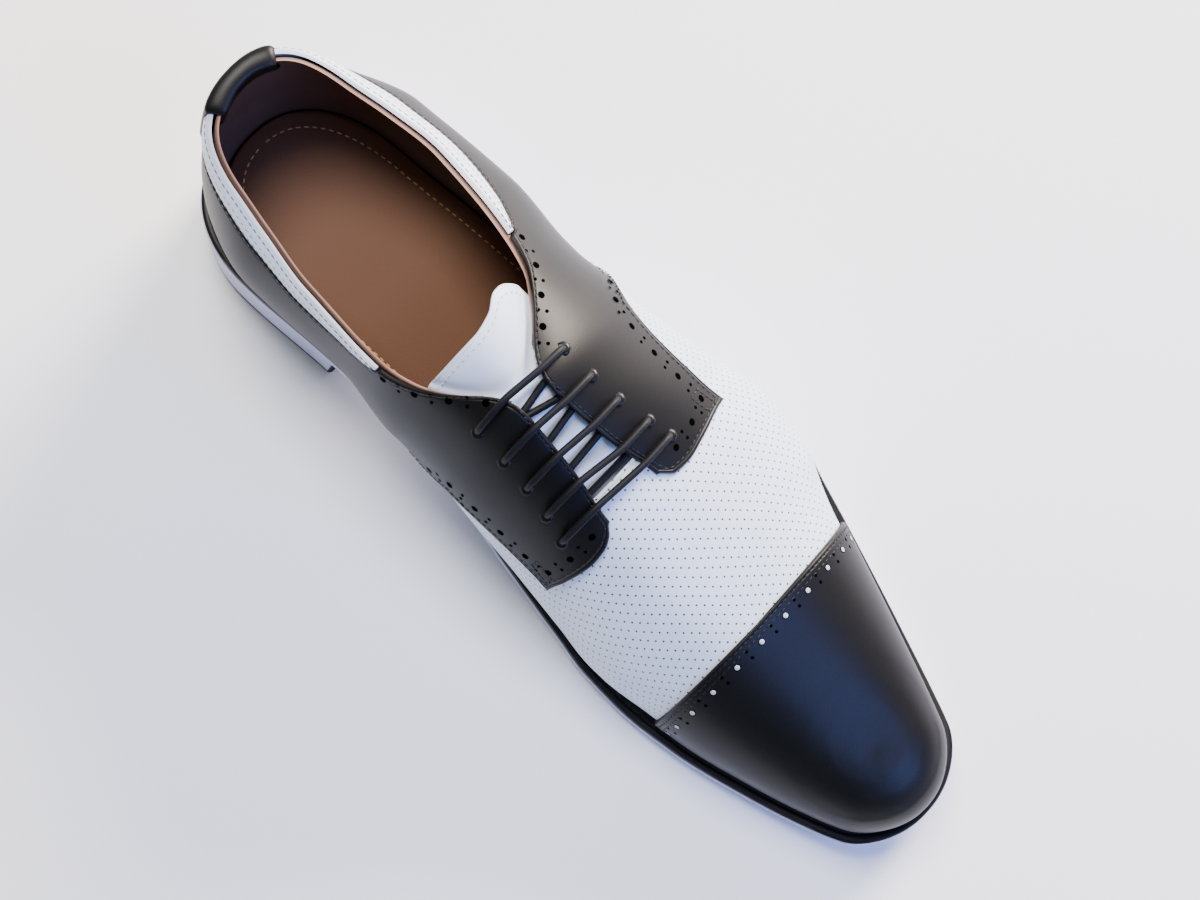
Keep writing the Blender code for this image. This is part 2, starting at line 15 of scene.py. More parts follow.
import bmesh
import bpy
import numpy as np
from mathutils import Matrix, Vector


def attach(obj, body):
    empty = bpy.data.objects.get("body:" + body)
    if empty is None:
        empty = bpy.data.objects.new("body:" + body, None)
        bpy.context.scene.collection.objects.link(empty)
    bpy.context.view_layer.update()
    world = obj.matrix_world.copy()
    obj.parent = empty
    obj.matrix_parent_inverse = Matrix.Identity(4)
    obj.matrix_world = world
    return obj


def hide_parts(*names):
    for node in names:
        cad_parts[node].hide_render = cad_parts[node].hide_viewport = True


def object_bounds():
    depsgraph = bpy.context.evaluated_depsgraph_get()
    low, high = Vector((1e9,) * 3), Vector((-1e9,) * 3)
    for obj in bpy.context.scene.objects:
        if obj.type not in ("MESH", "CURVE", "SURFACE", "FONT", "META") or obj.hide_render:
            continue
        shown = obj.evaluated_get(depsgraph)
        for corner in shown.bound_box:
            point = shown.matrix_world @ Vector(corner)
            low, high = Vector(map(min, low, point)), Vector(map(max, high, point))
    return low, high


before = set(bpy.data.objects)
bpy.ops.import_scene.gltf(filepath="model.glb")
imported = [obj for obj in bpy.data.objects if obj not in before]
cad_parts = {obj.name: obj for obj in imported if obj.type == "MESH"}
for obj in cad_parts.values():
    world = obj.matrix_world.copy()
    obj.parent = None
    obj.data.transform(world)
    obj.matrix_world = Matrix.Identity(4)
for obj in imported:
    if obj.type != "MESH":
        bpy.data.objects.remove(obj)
CAD_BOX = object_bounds()
LOG = logging.getLogger("shoe")
Array = np.ndarray
Inset = Callable[[Array], Array]
Table = dict[str, Array]
Faces = list[tuple[int, ...]]
Places = tuple[Array, Array, Array]
Piece = bpy.types.Object
Tree = bpy.types.NodeTree
Socket = bpy.types.NodeSocket

# Sizes of the sole
LENGTH = 0.305
BALL_WIDTH = 0.104
TOP_LIFT = 0.005
HEEL_BLOCK = 0.0165
OUTSOLE = 0.0055
WELT = 0.0024
WELT_SHOW = 0.0036
WELT_SETBACK = 0.0012
WELT_STRIP = 0.013
TOE_SPRING = 0.0075
HEEL_FLARE = 0.0006
BREAST_AT = 0.233
HEEL_CENTRE = 0.002
TOE_CENTRE = -0.004
HEEL_ROUND = 0.038
TOE_ROUND = 0.014
HEEL_SQUARENESS = 2.3
TOE_SQUARENESS = 2.2

# Sizes of the upper
INSTEP_HEIGHT = 0.092
COLLAR_HEIGHT = 0.086
COLLAR_ROUND = 0.026
COLLAR_SQUARENESS = 2.1
VAMP_WALL = 0.0016
OVERLAY = 0.0013
TAB_WALL = 0.0012
INSOLE = 0.003
TONGUE_WALL = 0.0016
TONGUE_HALF_WIDTH = 0.0215
TONGUE_DROP = 0.0014
LACE = 0.0025
CLEARANCE = 0.0003

# Places along the sole's length, as shares of it
TAB_AT = 0.018
BAND_END_AT = 0.305
COLLAR_FRONT_AT = 0.395
THROAT_TOP_AT = 0.425
THROAT_BASE_AT = 0.530
FACING_FRONT_AT = 0.566
CAP_SEAM_AT = 0.728
CAP_SEAM_BOW = 0.010
QUARTER_FOOT_AT = 0.340
RIDGE_BREAK_AT = 0.780
TONGUE_FOOT_AT = 0.565

# Heights and depths that follow from them
HEEL_PITCH = TOP_LIFT + HEEL_BLOCK + 2 * CLEARANCE
SEAT = OUTSOLE + WELT + CLEARANCE
OVERLAY_IN = VAMP_WALL + CLEARANCE
OVERLAY_OUT = OVERLAY_IN + OVERLAY


def section_table(names: str, *rows: tuple[float, ...]) -> Table:
    """Named columns of a section table.

    Args:
        names: The columns' names, with spaces between them.
        rows: One row for each section.

    Returns:
        A column of numbers for each name.
    """
    return {name: np.array([row[k] for row in rows]) for k, name in enumerate(names.split())}


# The sole's half widths are shares of BALL_WIDTH, the upper's foot stands in by
# a share of WELT_SHOW, and the last two columns are shares of pitch and spring.
SOLE = section_table(
    "along medial lateral show heel toe",
    (0.000, 0.335, 0.335, 0.85, 1.00, 0.00),
    (0.130, 0.330, 0.347, 0.75, 1.00, 0.00),
    (0.230, 0.311, 0.368, 0.60, 1.00, 0.00),
    (0.345, 0.300, 0.398, 0.60, 0.84, 0.00),
    (0.443, 0.336, 0.450, 0.75, 0.47, 0.00),
    (0.525, 0.374, 0.514, 0.85, 0.14, 0.00),
    (0.597, 0.407, 0.566, 0.90, 0.00, 0.00),
    (0.646, 0.430, 0.561, 0.95, 0.00, 0.00),
    (0.695, 0.434, 0.519, 1.00, 0.00, 0.00),
    (0.764, 0.413, 0.454, 1.00, 0.00, 0.03),
    (0.852, 0.354, 0.363, 1.00, 0.00, 0.22),
    (0.934, 0.278, 0.271, 1.00, 0.00, 0.60),
    (1.000, 0.187, 0.187, 1.00, 0.00, 1.00))

# The collar from the heel to the top of the throat. Centre and half widths are
# shares of BALL_WIDTH, heights of COLLAR_HEIGHT.
COLLAR = section_table(
    "along top_along centre medial lateral height",
    (0.000, 0.024, 0.0450, 0.170, 0.152, 1.000),
    (0.040, 0.049, 0.0430, 0.187, 0.166, 0.975),
    (0.085, 0.090, 0.0420, 0.208, 0.188, 0.925),
    (0.135, 0.136, 0.0380, 0.230, 0.222, 0.880),
    (0.200, 0.198, 0.0280, 0.252, 0.250, 0.860),
    (0.260, 0.255, 0.0100, 0.250, 0.248, 0.885),
    (0.305, 0.300, -0.010, 0.238, 0.240, 0.920),
    (0.340, 0.335, -0.030, 0.205, 0.225, 0.960),
    (0.370, 0.365, -0.045, 0.155, 0.175, 1.005),
    (0.395, 0.392, -0.050, 0.090, 0.100, 1.040),
    (0.425, 0.420, -0.052, 0.000, 0.000, 1.068))

# The ridge over the instep and the toe, as shares of INSTEP_HEIGHT and BALL_WIDTH.
RIDGE = section_table(
    "along height centre",
    (0.425, 1.000, -0.052),
    (0.490, 0.885, -0.045),
    (0.560, 0.745, -0.038),
    (0.610, 0.665, -0.036),
    (0.660, 0.600, -0.034),
    (0.740, 0.515, -0.032),
    (0.800, 0.465, -0.036),
    (0.860, 0.415, -0.038),
    (0.920, 0.352, -0.040))

# How full the wall's section is on each side, how far it closes over (radians), and
# how far it leans out over the foot on each side, as a share of BALL_WIDTH.
WALL = section_table(
    "along full_medial full_lateral closing medial lateral",
    (0.000, 2.00, 2.00, 1.00, 0.005, 0.005),
    (0.060, 2.00, 2.00, 1.00, 0.012, 0.030),
    (0.130, 2.00, 2.00, 1.00, 0.036, 0.082),
    (0.250, 2.00, 2.00, 1.00, 0.034, 0.083),
    (0.345, 2.20, 1.95, 1.20, 0.074, 0.050),
    (0.430, 2.50, 1.85, 1.57, 0.074, 0.074),
    (0.525, 2.75, 1.95, 1.57, 0.052, 0.068),
    (0.610, 2.75, 2.10, 1.57, 0.038, 0.053),
    (0.670, 2.60, 2.20, 1.57, 0.032, 0.032),
    (0.730, 2.40, 2.40, 1.57, 0.008, 0.012),
    (1.000, 2.50, 2.50, 1.57, 0.010, 0.010))

# Seam lines on the wall: the quarter's lower edge on each side and the edge above
# it, which is the collar band's lower edge and then the throat.
SEAMS = section_table(
    "along low_medial low_lateral high",
    (0.000, 0.14, 0.14, 0.800),
    (0.200, 0.12, 0.12, 0.800),
    (0.270, 0.09, 0.09, 0.880),
    (0.305, 0.07, 0.07, 0.955),
    (0.340, 0.08, 0.08, 0.950),
    (0.370, 0.15, 0.22, 0.960),
    (0.395, 0.19, 0.33, 1.000),
    (0.425, 0.24, 0.42, 0.930),
    (0.500, 0.31, 0.49, 0.918),
    (0.566, 0.35, 0.51, 0.888),
    (0.640, 0.35, 0.47, 0.888),
    (0.728, 0.34, 0.40, 0.888),
    (1.000, 0.34, 0.38, 0.888))

# The facing's front edge bows forward of its corners on each side, as shares of
# LENGTH, from the sharp corner below to the round one at the throat.
FACING_BOW = section_table(
    "up medial lateral",
    (0.000, 0.000, 0.000),
    (0.350, -0.004, -0.004),
    (0.510, 0.003, -0.006),
    (0.690, 0.008, 0.002),
    (0.780, 0.006, 0.006),
    (0.840, 0.000, 0.004),
    (0.888, -0.010, -0.008),
    (1.000, 0.000, 0.000))

# The five rows of lacing: how far each one's eyelets lie from the facing's edge.
LACE_ROWS = section_table(
    "medial_along lateral_along medial_setback lateral_setback",
    (0.4135, 0.4185, 0.0136, 0.0105),
    (0.4475, 0.4505, 0.0150, 0.0119),
    (0.4795, 0.4835, 0.0147, 0.0120),
    (0.5100, 0.5175, 0.0151, 0.0128),
    (0.5375, 0.5425, 0.0160, 0.0127))

# The tongue's top edge across its width, and how high it arches between the
# collar's edges, as a share of the opening's half width.
TONGUE_TOP = section_table(
    "across along",
    (-1.00, 0.348),
    (-0.50, 0.354),
    (0.00, 0.355),
    (0.35, 0.350),
    (0.65, 0.338),
    (1.00, 0.336))
TONGUE_ARCH = section_table(
    "along rise",
    (0.330, 0.72),
    (0.370, 0.62),
    (0.395, 0.46),
    (0.425, 0.00))


def read(tab: Table, column: str, at: Array) -> Array:
    """A smooth line through a column that never overshoots its rows.

    Args:
        tab: The section table, its first column the places.
        column: The column to read.
        at: Where along the first column.

    Returns:
        The column's values there.
    """
    x = next(iter(tab.values()))
    y = tab[column]
    at = np.clip(np.asarray(at, float), x[0], x[-1])
    step = np.diff(x)
    slope = np.diff(y) / step
    tangent = np.zeros(len(x))
    tangent[0], tangent[-1] = slope[0], slope[-1]
    for k in range(1, len(x) - 1):
        if slope[k - 1] * slope[k] > 0:
            before = 2 * step[k] + step[k - 1]
            after = step[k] + 2 * step[k - 1]
            tangent[k] = (before + after) / (before / slope[k - 1] + after / slope[k])
    i = np.clip(np.searchsorted(x, at, side="right") - 1, 0, len(x) - 2)
    t = (at - x[i]) / step[i]
    return ((1 + 2 * t) * (1 - t) ** 2 * y[i] + t * (1 - t) ** 2 * step[i] * tangent[i]
            + t * t * (3 - 2 * t) * y[i + 1] + t * t * (t - 1) * step[i] * tangent[i + 1])


def ease(start: float, end: float, at: Array) -> Array:
    """0 before start, 1 after end, and a soft step between them."""
    t = np.clip((np.asarray(at, float) - start) / (end - start), 0, 1)
    return t * t * (3 - 2 * t)


def end_round(distance: Array, reach: float, squareness: float) -> Array:
    """Share of the full width at a distance from a rounded end."""
    q = np.clip(1 - distance / reach, 0, 1)
    return np.clip(1 - q ** squareness, 0, 1) ** (1 / squareness)


def by_side(tab: Table, w: Array, prefix: str = "") -> Array:
    """Values of a table's lateral column where w is positive, of its medial one elsewhere."""
    t = np.abs(w)
    return np.where(w > 0, read(tab, prefix + "lateral", t), read(tab, prefix + "medial", t))


def plan(w: Array, inset_of: Inset) -> tuple[Array, Array]:
    """Points of the plan outline.

    Args:
        w: Share of the length, positive on the lateral side.
        inset_of: How far in the outline lies, as a function of the share.

    Returns:
        x, and the distance from the heel.
    """
    t = np.abs(w)
    heel_inset = inset_of(0.0)
    toe_inset = inset_of(1.0)
    y = heel_inset + (LENGTH - heel_inset - toe_inset) * t
    half = by_side(SOLE, w) * BALL_WIDTH - inset_of(t)
    half = half * end_round(y - heel_inset, HEEL_ROUND, HEEL_SQUARENESS)
    half = half * end_round(LENGTH - toe_inset - y, TOE_ROUND, TOE_SQUARENESS)
    centre = HEEL_CENTRE + (TOE_CENTRE - HEEL_CENTRE) * t
    return centre + np.where(w > 0, half, -half), y


def level(value: float) -> Inset:
    """An inset that is the same all round."""
    return lambda t: value + 0 * np.asarray(t, float)


def raised(line: Inset, by: float) -> Inset:
    """A line that lies the same amount above, or inside, another all round."""
    return lambda t: line(t) + by


def foot_inset(out: Array) -> Inset:
    """How far the upper's foot stands in from the sole's edge."""
    return lambda t: WELT_SHOW * read(SOLE, "show", t) + OVERLAY_OUT - out


def floor_line(t: Array) -> Array:
    """Height of the outsole's underside."""
    return HEEL_PITCH * read(SOLE, "heel", t) + TOE_SPRING * read(SOLE, "toe", t)


def foot_height(t: Array) -> Array:
    """Height of the upper's foot, just above the welt."""
    return floor_line(t) + SEAT + CLEARANCE


def last_point(w: Array, v: Array, out: Array) -> Array:
    """Points of the last's wall, before they are centred on the part.

    Args:
        w: Share of the length, positive on the lateral side.
        v: Share of the way up the wall, 1 at the collar's edge or the ridge.
        out: How far out from the last the point lies.

    Returns:
        x, the distance from the heel and the height, in the last axis.
    """
    w, v = np.broadcast_arrays(np.asarray(w, float), np.asarray(v, float))
    t = np.abs(w)
    side = np.where(w > 0, 1.0, -1.0)
    inset_of = foot_inset(out)
    foot_x, foot_y = plan(w, inset_of)
    foot_z = foot_height(foot_y / LENGTH)
    behind = t < THROAT_TOP_AT
    q = np.clip((t - RIDGE_BREAK_AT) / (1 - RIDGE_BREAK_AT), 0, 1)
    ridge_t = np.minimum(t, RIDGE_BREAK_AT) + (1 - RIDGE_BREAK_AT) * (q - 0.5 * q * q)
    top_t = np.where(behind, read(COLLAR, "top_along", t), ridge_t)
    lift = ease(0.30, THROAT_TOP_AT, t)
    half = np.where(behind, by_side(COLLAR, w) * BALL_WIDTH + out * (1 - lift), 0)
    half = half * end_round(t * LENGTH, COLLAR_ROUND, COLLAR_SQUARENESS)
    centre = np.where(behind, read(COLLAR, "centre", t), read(RIDGE, "centre", top_t)) * BALL_WIDTH
    height = np.where(behind, read(COLLAR, "height", t) * COLLAR_HEIGHT,
                      read(RIDGE, "height", top_t) * INSTEP_HEIGHT)
    top_x = centre + side * half
    top_y = top_t * LENGTH - out * (1 - ease(0.0, 0.10, t))
    top_z = height + out * lift
    power = 2 / by_side(WALL, w, "full_")
    closing = read(WALL, "closing", t)
    across = (1 - np.cos(v * closing) ** power) / (1 - np.cos(closing) ** power)
    up = (np.sin(v * closing) / np.sin(closing)) ** power
    lean = by_side(WALL, w) * BALL_WIDTH * np.sin(np.pi * np.clip(up, 0, 1) ** 0.8)
    step = 1e-4  # a small share of the length on each side, which gives the outline's direction
    x0, y0 = plan(np.clip(t - step, 0, 1) * side, inset_of)
    x1, y1 = plan(np.clip(t + step, 0, 1) * side, inset_of)
    run = np.hypot(x1 - x0, y1 - y0) + 1e-12
    x = foot_x + (top_x - foot_x) * across + side * (y1 - y0) / run * lean
    y = foot_y + (top_y - foot_y) * across - side * (x1 - x0) / run * lean
    z = foot_z + (top_z - foot_z) * up
    return np.stack([x, y, z], -1)


def sole_middle() -> tuple[float, float]:
    """Middle of the sole's box, which the part is centred on.

    Returns:
        x, and the distance from the heel.
    """
    w = np.concatenate([-np.linspace(1, 1e-6, 400), np.linspace(1e-6, 1, 400)])
    x, _ = plan(w, level(0.0))
    return (x.min() + x.max()) / 2, (LENGTH - HEEL_FLARE) / 2


MIDDLE_X, MIDDLE_Y = sole_middle()

# Rows close to a cut edge, the radius it is rolled over, and how near two points
# are when they are one.
EDGE_STEPS = np.array([0.0, 0.00012, 0.0003, 0.0006, 0.001])
EDGE_ROLL = 0.0007
BAND_LIFT = 0.003  # the band starts this share of the wall above its seam line
SAME_SPOT = 4e-6

# Shares of the length: where the heel's turn ends, behind which columns lie close, the
# next column after it, and where the easing of the throat sets in, is full, fades and ends.
HEEL_TURN = 0.06
PAST_TURN = 0.062
THROAT_EASED = (0.32, 0.37, 0.50, 0.54)

# A distance from any cut edge past which nothing of the edge shows, two gaps too thin
# to see, the least difference of two shares, and millimetres in a metre.
FAR_FROM_EDGE = 0.02
CLOSE = 0.00005
HAIR = 0.00002
NEAR = 1e-9
MM = 1000


class Side(Enum):
    """The two sides of a shoe."""
    MEDIAL = -1
    LATERAL = 1


def place(points: Array) -> Array:
    """From x, distance from the heel, height to the part's own frame."""
    points = np.asarray(points, float)
    return np.stack([points[..., 0] - MIDDLE_X, MIDDLE_Y - points[..., 1], points[..., 2]], -1)


def on_last(w: Array, v: Array, out: Array) -> Array:
    """Points of the last's wall in the part's own frame."""
    return place(last_point(w, v, out))


def wall_normal(w: Array, v: Array, out: float) -> Array:
    """The wall's outward direction at places on the last.

    Args:
        w: Share of the length, positive on the lateral side.
        v: Share of the way up the wall.
        out: How far out the surface lies.

    Returns:
        A unit vector for each place.
    """
    w, v = np.broadcast_arrays(np.asarray(w, float), np.asarray(v, float))
    low, high = np.clip(v - 0.004, 0, 1), np.clip(v + 0.004, 0, 1)
    up = on_last(w, high, out) - on_last(w, low, out)
    side = np.where(w > 0, 1.0, -1.0)
    near = side * np.clip(np.abs(w) - 0.002, 1e-5, 0.99999)
    far = side * np.clip(np.abs(w) + 0.002, 1e-5, 0.99999)
    along = on_last(far, v, out) - on_last(near, v, out)
    normal = np.cross(along, up) * -side[..., None]
    return normal / (np.linalg.norm(normal, axis=-1, keepdims=True) + 1e-12)


def lengths(path: Array) -> Array:
    """Length along a path, or along each column of a grid, up to each point."""
    step = np.linalg.norm(np.diff(path, axis=0), axis=-1)
    return np.concatenate([np.zeros((1, *step.shape[1:])), np.cumsum(step, axis=0)])


def paces(length: float, spacing: float) -> Array:
    """Even lengths along a path, as near to a spacing as fits."""
    return np.linspace(0, length, max(2, int(round(length / spacing)) + 1))


def points_at(path: Array, at: Array) -> Array:
    """Points of a path at lengths along it."""
    run = lengths(path)
    return np.stack([np.interp(at, run, path[:, k]) for k in range(3)], -1)


def even(path: Array, spacing: float) -> Array:
    """Points along a path at an even spacing."""
    return points_at(path, paces(lengths(path)[-1], spacing))


def seam(name: str, t: Array) -> Array:
    """A seam line's share of the wall at places along the shoe."""
    return read(SEAMS, name, t)


def rolled(edge: Array, roll: float = EDGE_ROLL) -> Array:
    """How far a panel's face drops towards its cut edge."""
    q = np.clip(1 - edge / roll, 0, 1)
    return roll * (1 - np.sqrt(np.clip(1 - q * q, 0, 1)))


def add_mesh(name: str, points: Array, faces: Faces,
             pattern: Optional[Array] = None, sharp: float = 50.0) -> Piece:
    """A piece from points and faces, its faces turned outwards.

    Args:
        name: The piece's name.
        points: Its points, in metres.
        faces: Its faces, as rows of point numbers.
        pattern: The flat pattern at each point, in mm: along, up and from the edge.
        sharp: The angle in degrees past which an edge stays sharp.

    Returns:
        The new object, at the origin.
    """
    mesh = bpy.data.meshes.new(name)
    mesh.from_pydata([tuple(p) for p in points], [], faces)
    if pattern is not None:
        data = mesh.attributes.new("pattern", "FLOAT_VECTOR", "POINT").data
        data.foreach_set("vector", pattern.astype(np.float32).ravel())
    shape = bmesh.new()
    shape.from_mesh(mesh)
    bmesh.ops.remove_doubles(shape, verts=shape.verts, dist=2e-6)
    bmesh.ops.dissolve_degenerate(shape, edges=shape.edges, dist=1e-7)
    loose = [vert for vert in shape.verts if not vert.link_faces]
    bmesh.ops.delete(shape, geom=loose, context="VERTS")
    bmesh.ops.recalc_face_normals(shape, faces=shape.faces)
    shape.to_mesh(mesh)
    shape.free()
    mesh.shade_smooth()
    mesh.set_sharp_from_angle(angle=math.radians(sharp))
    piece = bpy.data.objects.new(name, mesh)
    bpy.context.scene.collection.objects.link(piece)
    return piece


def closed_grid(outer: Array, inner: Array, keep: Optional[Array] = None,
                ring: bool = False) -> tuple[Array, Faces]:
    """Closed body between two grids of points.

    Args:
        outer: The outer face's points, by row and column.
        inner: The inner face's points, in the same layout.
        keep: Which cells are there, all of them if it is left out.
        ring: Whether the rows close up.

    Returns:
        The points and faces of the body.
    """
    rows, cols = outer.shape[:2]
    spots = np.round(outer.reshape(-1, 3) / SAME_SPOT).astype(int)
    _, first, where = np.unique(spots, axis=0, return_index=True, return_inverse=True)
    number = first[where.ravel()].reshape(rows, cols)
    count = rows * cols
    faces: Faces = []
    edges: set[tuple[int, int]] = set()
    for i in range(rows if ring else rows - 1):
        for j in range(cols - 1):
            if keep is not None and not keep[i, j]:
                continue
            below = (i + 1) % rows
            corners = (number[i, j], number[below, j], number[below, j + 1], number[i, j + 1])
            cell = tuple(dict.fromkeys(int(k) for k in corners))
            if len(cell) < 3:
                continue
            faces.append(cell)
            faces.append(tuple(k + count for k in reversed(cell)))
            edges.update((cell[k], cell[(k + 1) % len(cell)]) for k in range(len(cell)))
    for a, b in sorted(edges):
        if (b, a) not in edges:
            faces.append((b, a, a + count, b + count))
    return np.concatenate([outer.reshape(-1, 3), inner.reshape(-1, 3)]), faces


@dataclass
class Panel:
    """One cut piece of leather: a grid of places on the last, with its thickness.

    Attributes:
        name: The piece's name.
        w: Share of the length at each grid point, positive on the lateral side.
        v: Share of the way up the wall.
        edge: Distance from the nearest cut edge, in metres.
        outer: How far out the face lies, a number or one for each point.
        inner: How far out the back lies.
        keep: Which cells are there.
        eased: How many times the turn at the throat is smoothed.
    """
    name: str
    w: Array
    v: Array
    edge: Array
    outer: Array | float = OVERLAY_OUT
    inner: float = OVERLAY_IN
    keep: Optional[Array] = None
    eased: int = 0

    def ease_throat(self, skin: Array) -> Array:
        """Eases a skin's turn from collar to facing along the shoe.

        Args:
            skin: The skin's points, by row and column.

        Returns:
            The eased points.
        """
        t = np.abs(self.w + 0 * self.v)[:, 1:-1]
        sets_in, full, fades, ends = THROAT_EASED
        share = (0.5 * ease(sets_in, full, t) * (1 - ease(fades, ends, t)))[..., None]
        skin = skin.copy()
        for _ in range(self.eased):
            middle = 0.5 * (skin[:, :-2] + skin[:, 2:])
            skin[:, 1:-1] += share * (middle - skin[:, 1:-1])
        return skin

    def build(self) -> Piece:
        """Makes the panel's closed mesh, its flat pattern kept as an attribute.

        Returns:
            The panel.
        """
        face = self.ease_throat(on_last(self.w, self.v, self.outer - rolled(self.edge)))
        back = self.ease_throat(on_last(self.w, self.v, self.inner))
        arc = lengths(face)
        arc = arc - arc[np.argmax(self.v, axis=0), np.arange(face.shape[1])]
        flat = np.stack([np.abs(self.w) * LENGTH + 0 * arc, arc, self.edge], -1).reshape(-1, 3)
        points, faces = closed_grid(face, back, self.keep)
        return add_mesh(self.name, points, faces, np.vstack([flat, flat]) * MM)


def stops(first: float, last: float, count: int, cut_first: bool, cut_last: bool,
          scale: float = LENGTH) -> Array:
    """Even places between two ends, closer together at a cut edge.

    Args:
        first: The first place.
        last: The last place.
        count: How many even places there are.
        cut_first: Whether the first end is a cut edge.
        cut_last: Whether the last end is one.
        scale: The length in metres that the places are shares of.

    Returns:
        The places in order.
    """
    steps = EDGE_STEPS / scale
    parts = [first + steps[:-1]] if cut_first else []
    inside = (first + steps[-1] if cut_first else first, last - steps[-1] if cut_last else last)
    parts.append(np.linspace(*inside, count))
    if cut_last:
        parts.append(last - steps[:-1][::-1])
    return np.concatenate(parts)


def rows_between(w: Array, low: Array, high: Array, count: int) -> tuple[Array, Array]:
    """Rows of a panel at even lengths of the wall, closer together at both edges.

    Args:
        w: The panel's columns.
        low: Share of the wall at its lower edge, for each column.
        high: Share of the wall at its upper edge.
        count: How many even rows lie between the edges.

    Returns:
        The share of the wall and the distance from the nearer edge, by row and column.
    """
    share = np.linspace(0, 1, 90)[:, None]
    v = low + (high - low) * share
    run = lengths(last_point(w[None, :], v, OVERLAY_OUT))
    v_rows, edges = [], []
    for k in range(len(w)):
        at = stops(0.0, run[-1, k], count, True, True, 1.0)
        v_rows.append(np.interp(at, run[:, k], v[:, k]))
        edges.append(np.minimum(at, run[-1, k] - at))
    return np.array(v_rows).T, np.array(edges).T


def heel_spread(end: float, count: int) -> Array:
    """Places from the heel's middle to a share of the length, close at the heel."""
    return end * np.linspace(0, 1, count) ** 2.2


@dataclass
class Vamp:
    """The white forepart: the perforated vamp and the brown lining inside the whole upper.

    Attributes:
        back: Share of the length where the vamp ends under the quarters.
        under_cap: How far it runs on under the toe cap, as a share of the length.
        vamp_lap: How far down the throat's cut lies under the facing, as a share of the wall.
        lining_lap: The same for the lining.
        vamp_back: How far out the vamp's back lies.
        lining_face: How far out the lining's outer face lies.
        wall_rows: Rows of the vamp on each side of the ridge.
        lining_rows: Rows of the lining on each side.
        columns: Even columns of the vamp in front of the throat.
    """
    back: float = 0.325
    under_cap: float = 0.030
    vamp_lap: float = 0.012
    lining_lap: float = 0.02
    vamp_back: float = 0.0013
    lining_face: float = 0.0010
    wall_rows: int = 64
    lining_rows: int = 40
    columns: int = 110

    def folded(self, t: Array, rows: int) -> tuple[Array, Array]:
        """Places from the medial foot over the ridge to the lateral foot, the ridge twice.

        Args:
            t: Shares of the length, one for each column.
            rows: How many rows each side has.

        Returns:
            w and v by row and column.
        """
        up = 1 - (1 - np.linspace(0, 1, rows)) ** 1.25
        v = np.concatenate([up, up[::-1]])
        side = np.concatenate([-np.ones(rows), np.ones(rows)])
        return side[:, None] * t[None, :], np.repeat(v[:, None], len(t), axis=1)

    def opened(self, t: Array, gap: Array) -> Array:
        """Which cells of a folded grid are there.

        Args:
            t: Shares of the length, one for each column.
            gap: Which grid points lie in the open throat.

        Returns:
            True for each cell outside the throat, the ridge joined only in front of it.
        """
        keep = ~(gap[:-1, :-1] | gap[1:, :-1])
        keep[len(gap) // 2 - 1] = t[:-1] >= THROAT_BASE_AT - NEAR
        return keep

    def build_vamp(self) -> Piece:
        """Makes the vamp, with its cut edge at the base of the throat.

        Returns:
            The vamp.
        """
        t = np.concatenate([
            np.linspace(self.back, THROAT_BASE_AT, 30)[:-1],
            stops(THROAT_BASE_AT, CAP_SEAM_AT + self.under_cap, self.columns, True, False)])
        w, v = self.folded(t, self.wall_rows)
        open_behind = (np.abs(w) < THROAT_BASE_AT - NEAR) & (v > seam("high", np.abs(w)) - self.vamp_lap)
        edge = np.where(v > 0.9, np.abs(np.abs(w) - THROAT_BASE_AT) * LENGTH, FAR_FROM_EDGE)
        return Panel("vamp", w, v, edge, VAMP_WALL, self.vamp_back, self.opened(t, open_behind)).build()

    def build_lining(self) -> Piece:
        """Makes the lining, up to the collar's edge all round and down to the insole.

        Returns:
            The lining.
        """
        t = np.concatenate([heel_spread(HEEL_TURN, 26), np.linspace(PAST_TURN, 0.985, 120)])
        w, v = self.folded(t, self.lining_rows)
        share = np.abs(w)
        throat = (share >= COLLAR_FRONT_AT) & (share < THROAT_BASE_AT)
        gap = throat & (v > seam("high", share) - self.lining_lap)
        edge = np.where(share < COLLAR_FRONT_AT, (1 - v) * COLLAR_HEIGHT, FAR_FROM_EDGE)
        return Panel("lining", w, v, edge, self.lining_face, CLOSE, self.opened(t, gap)).build()


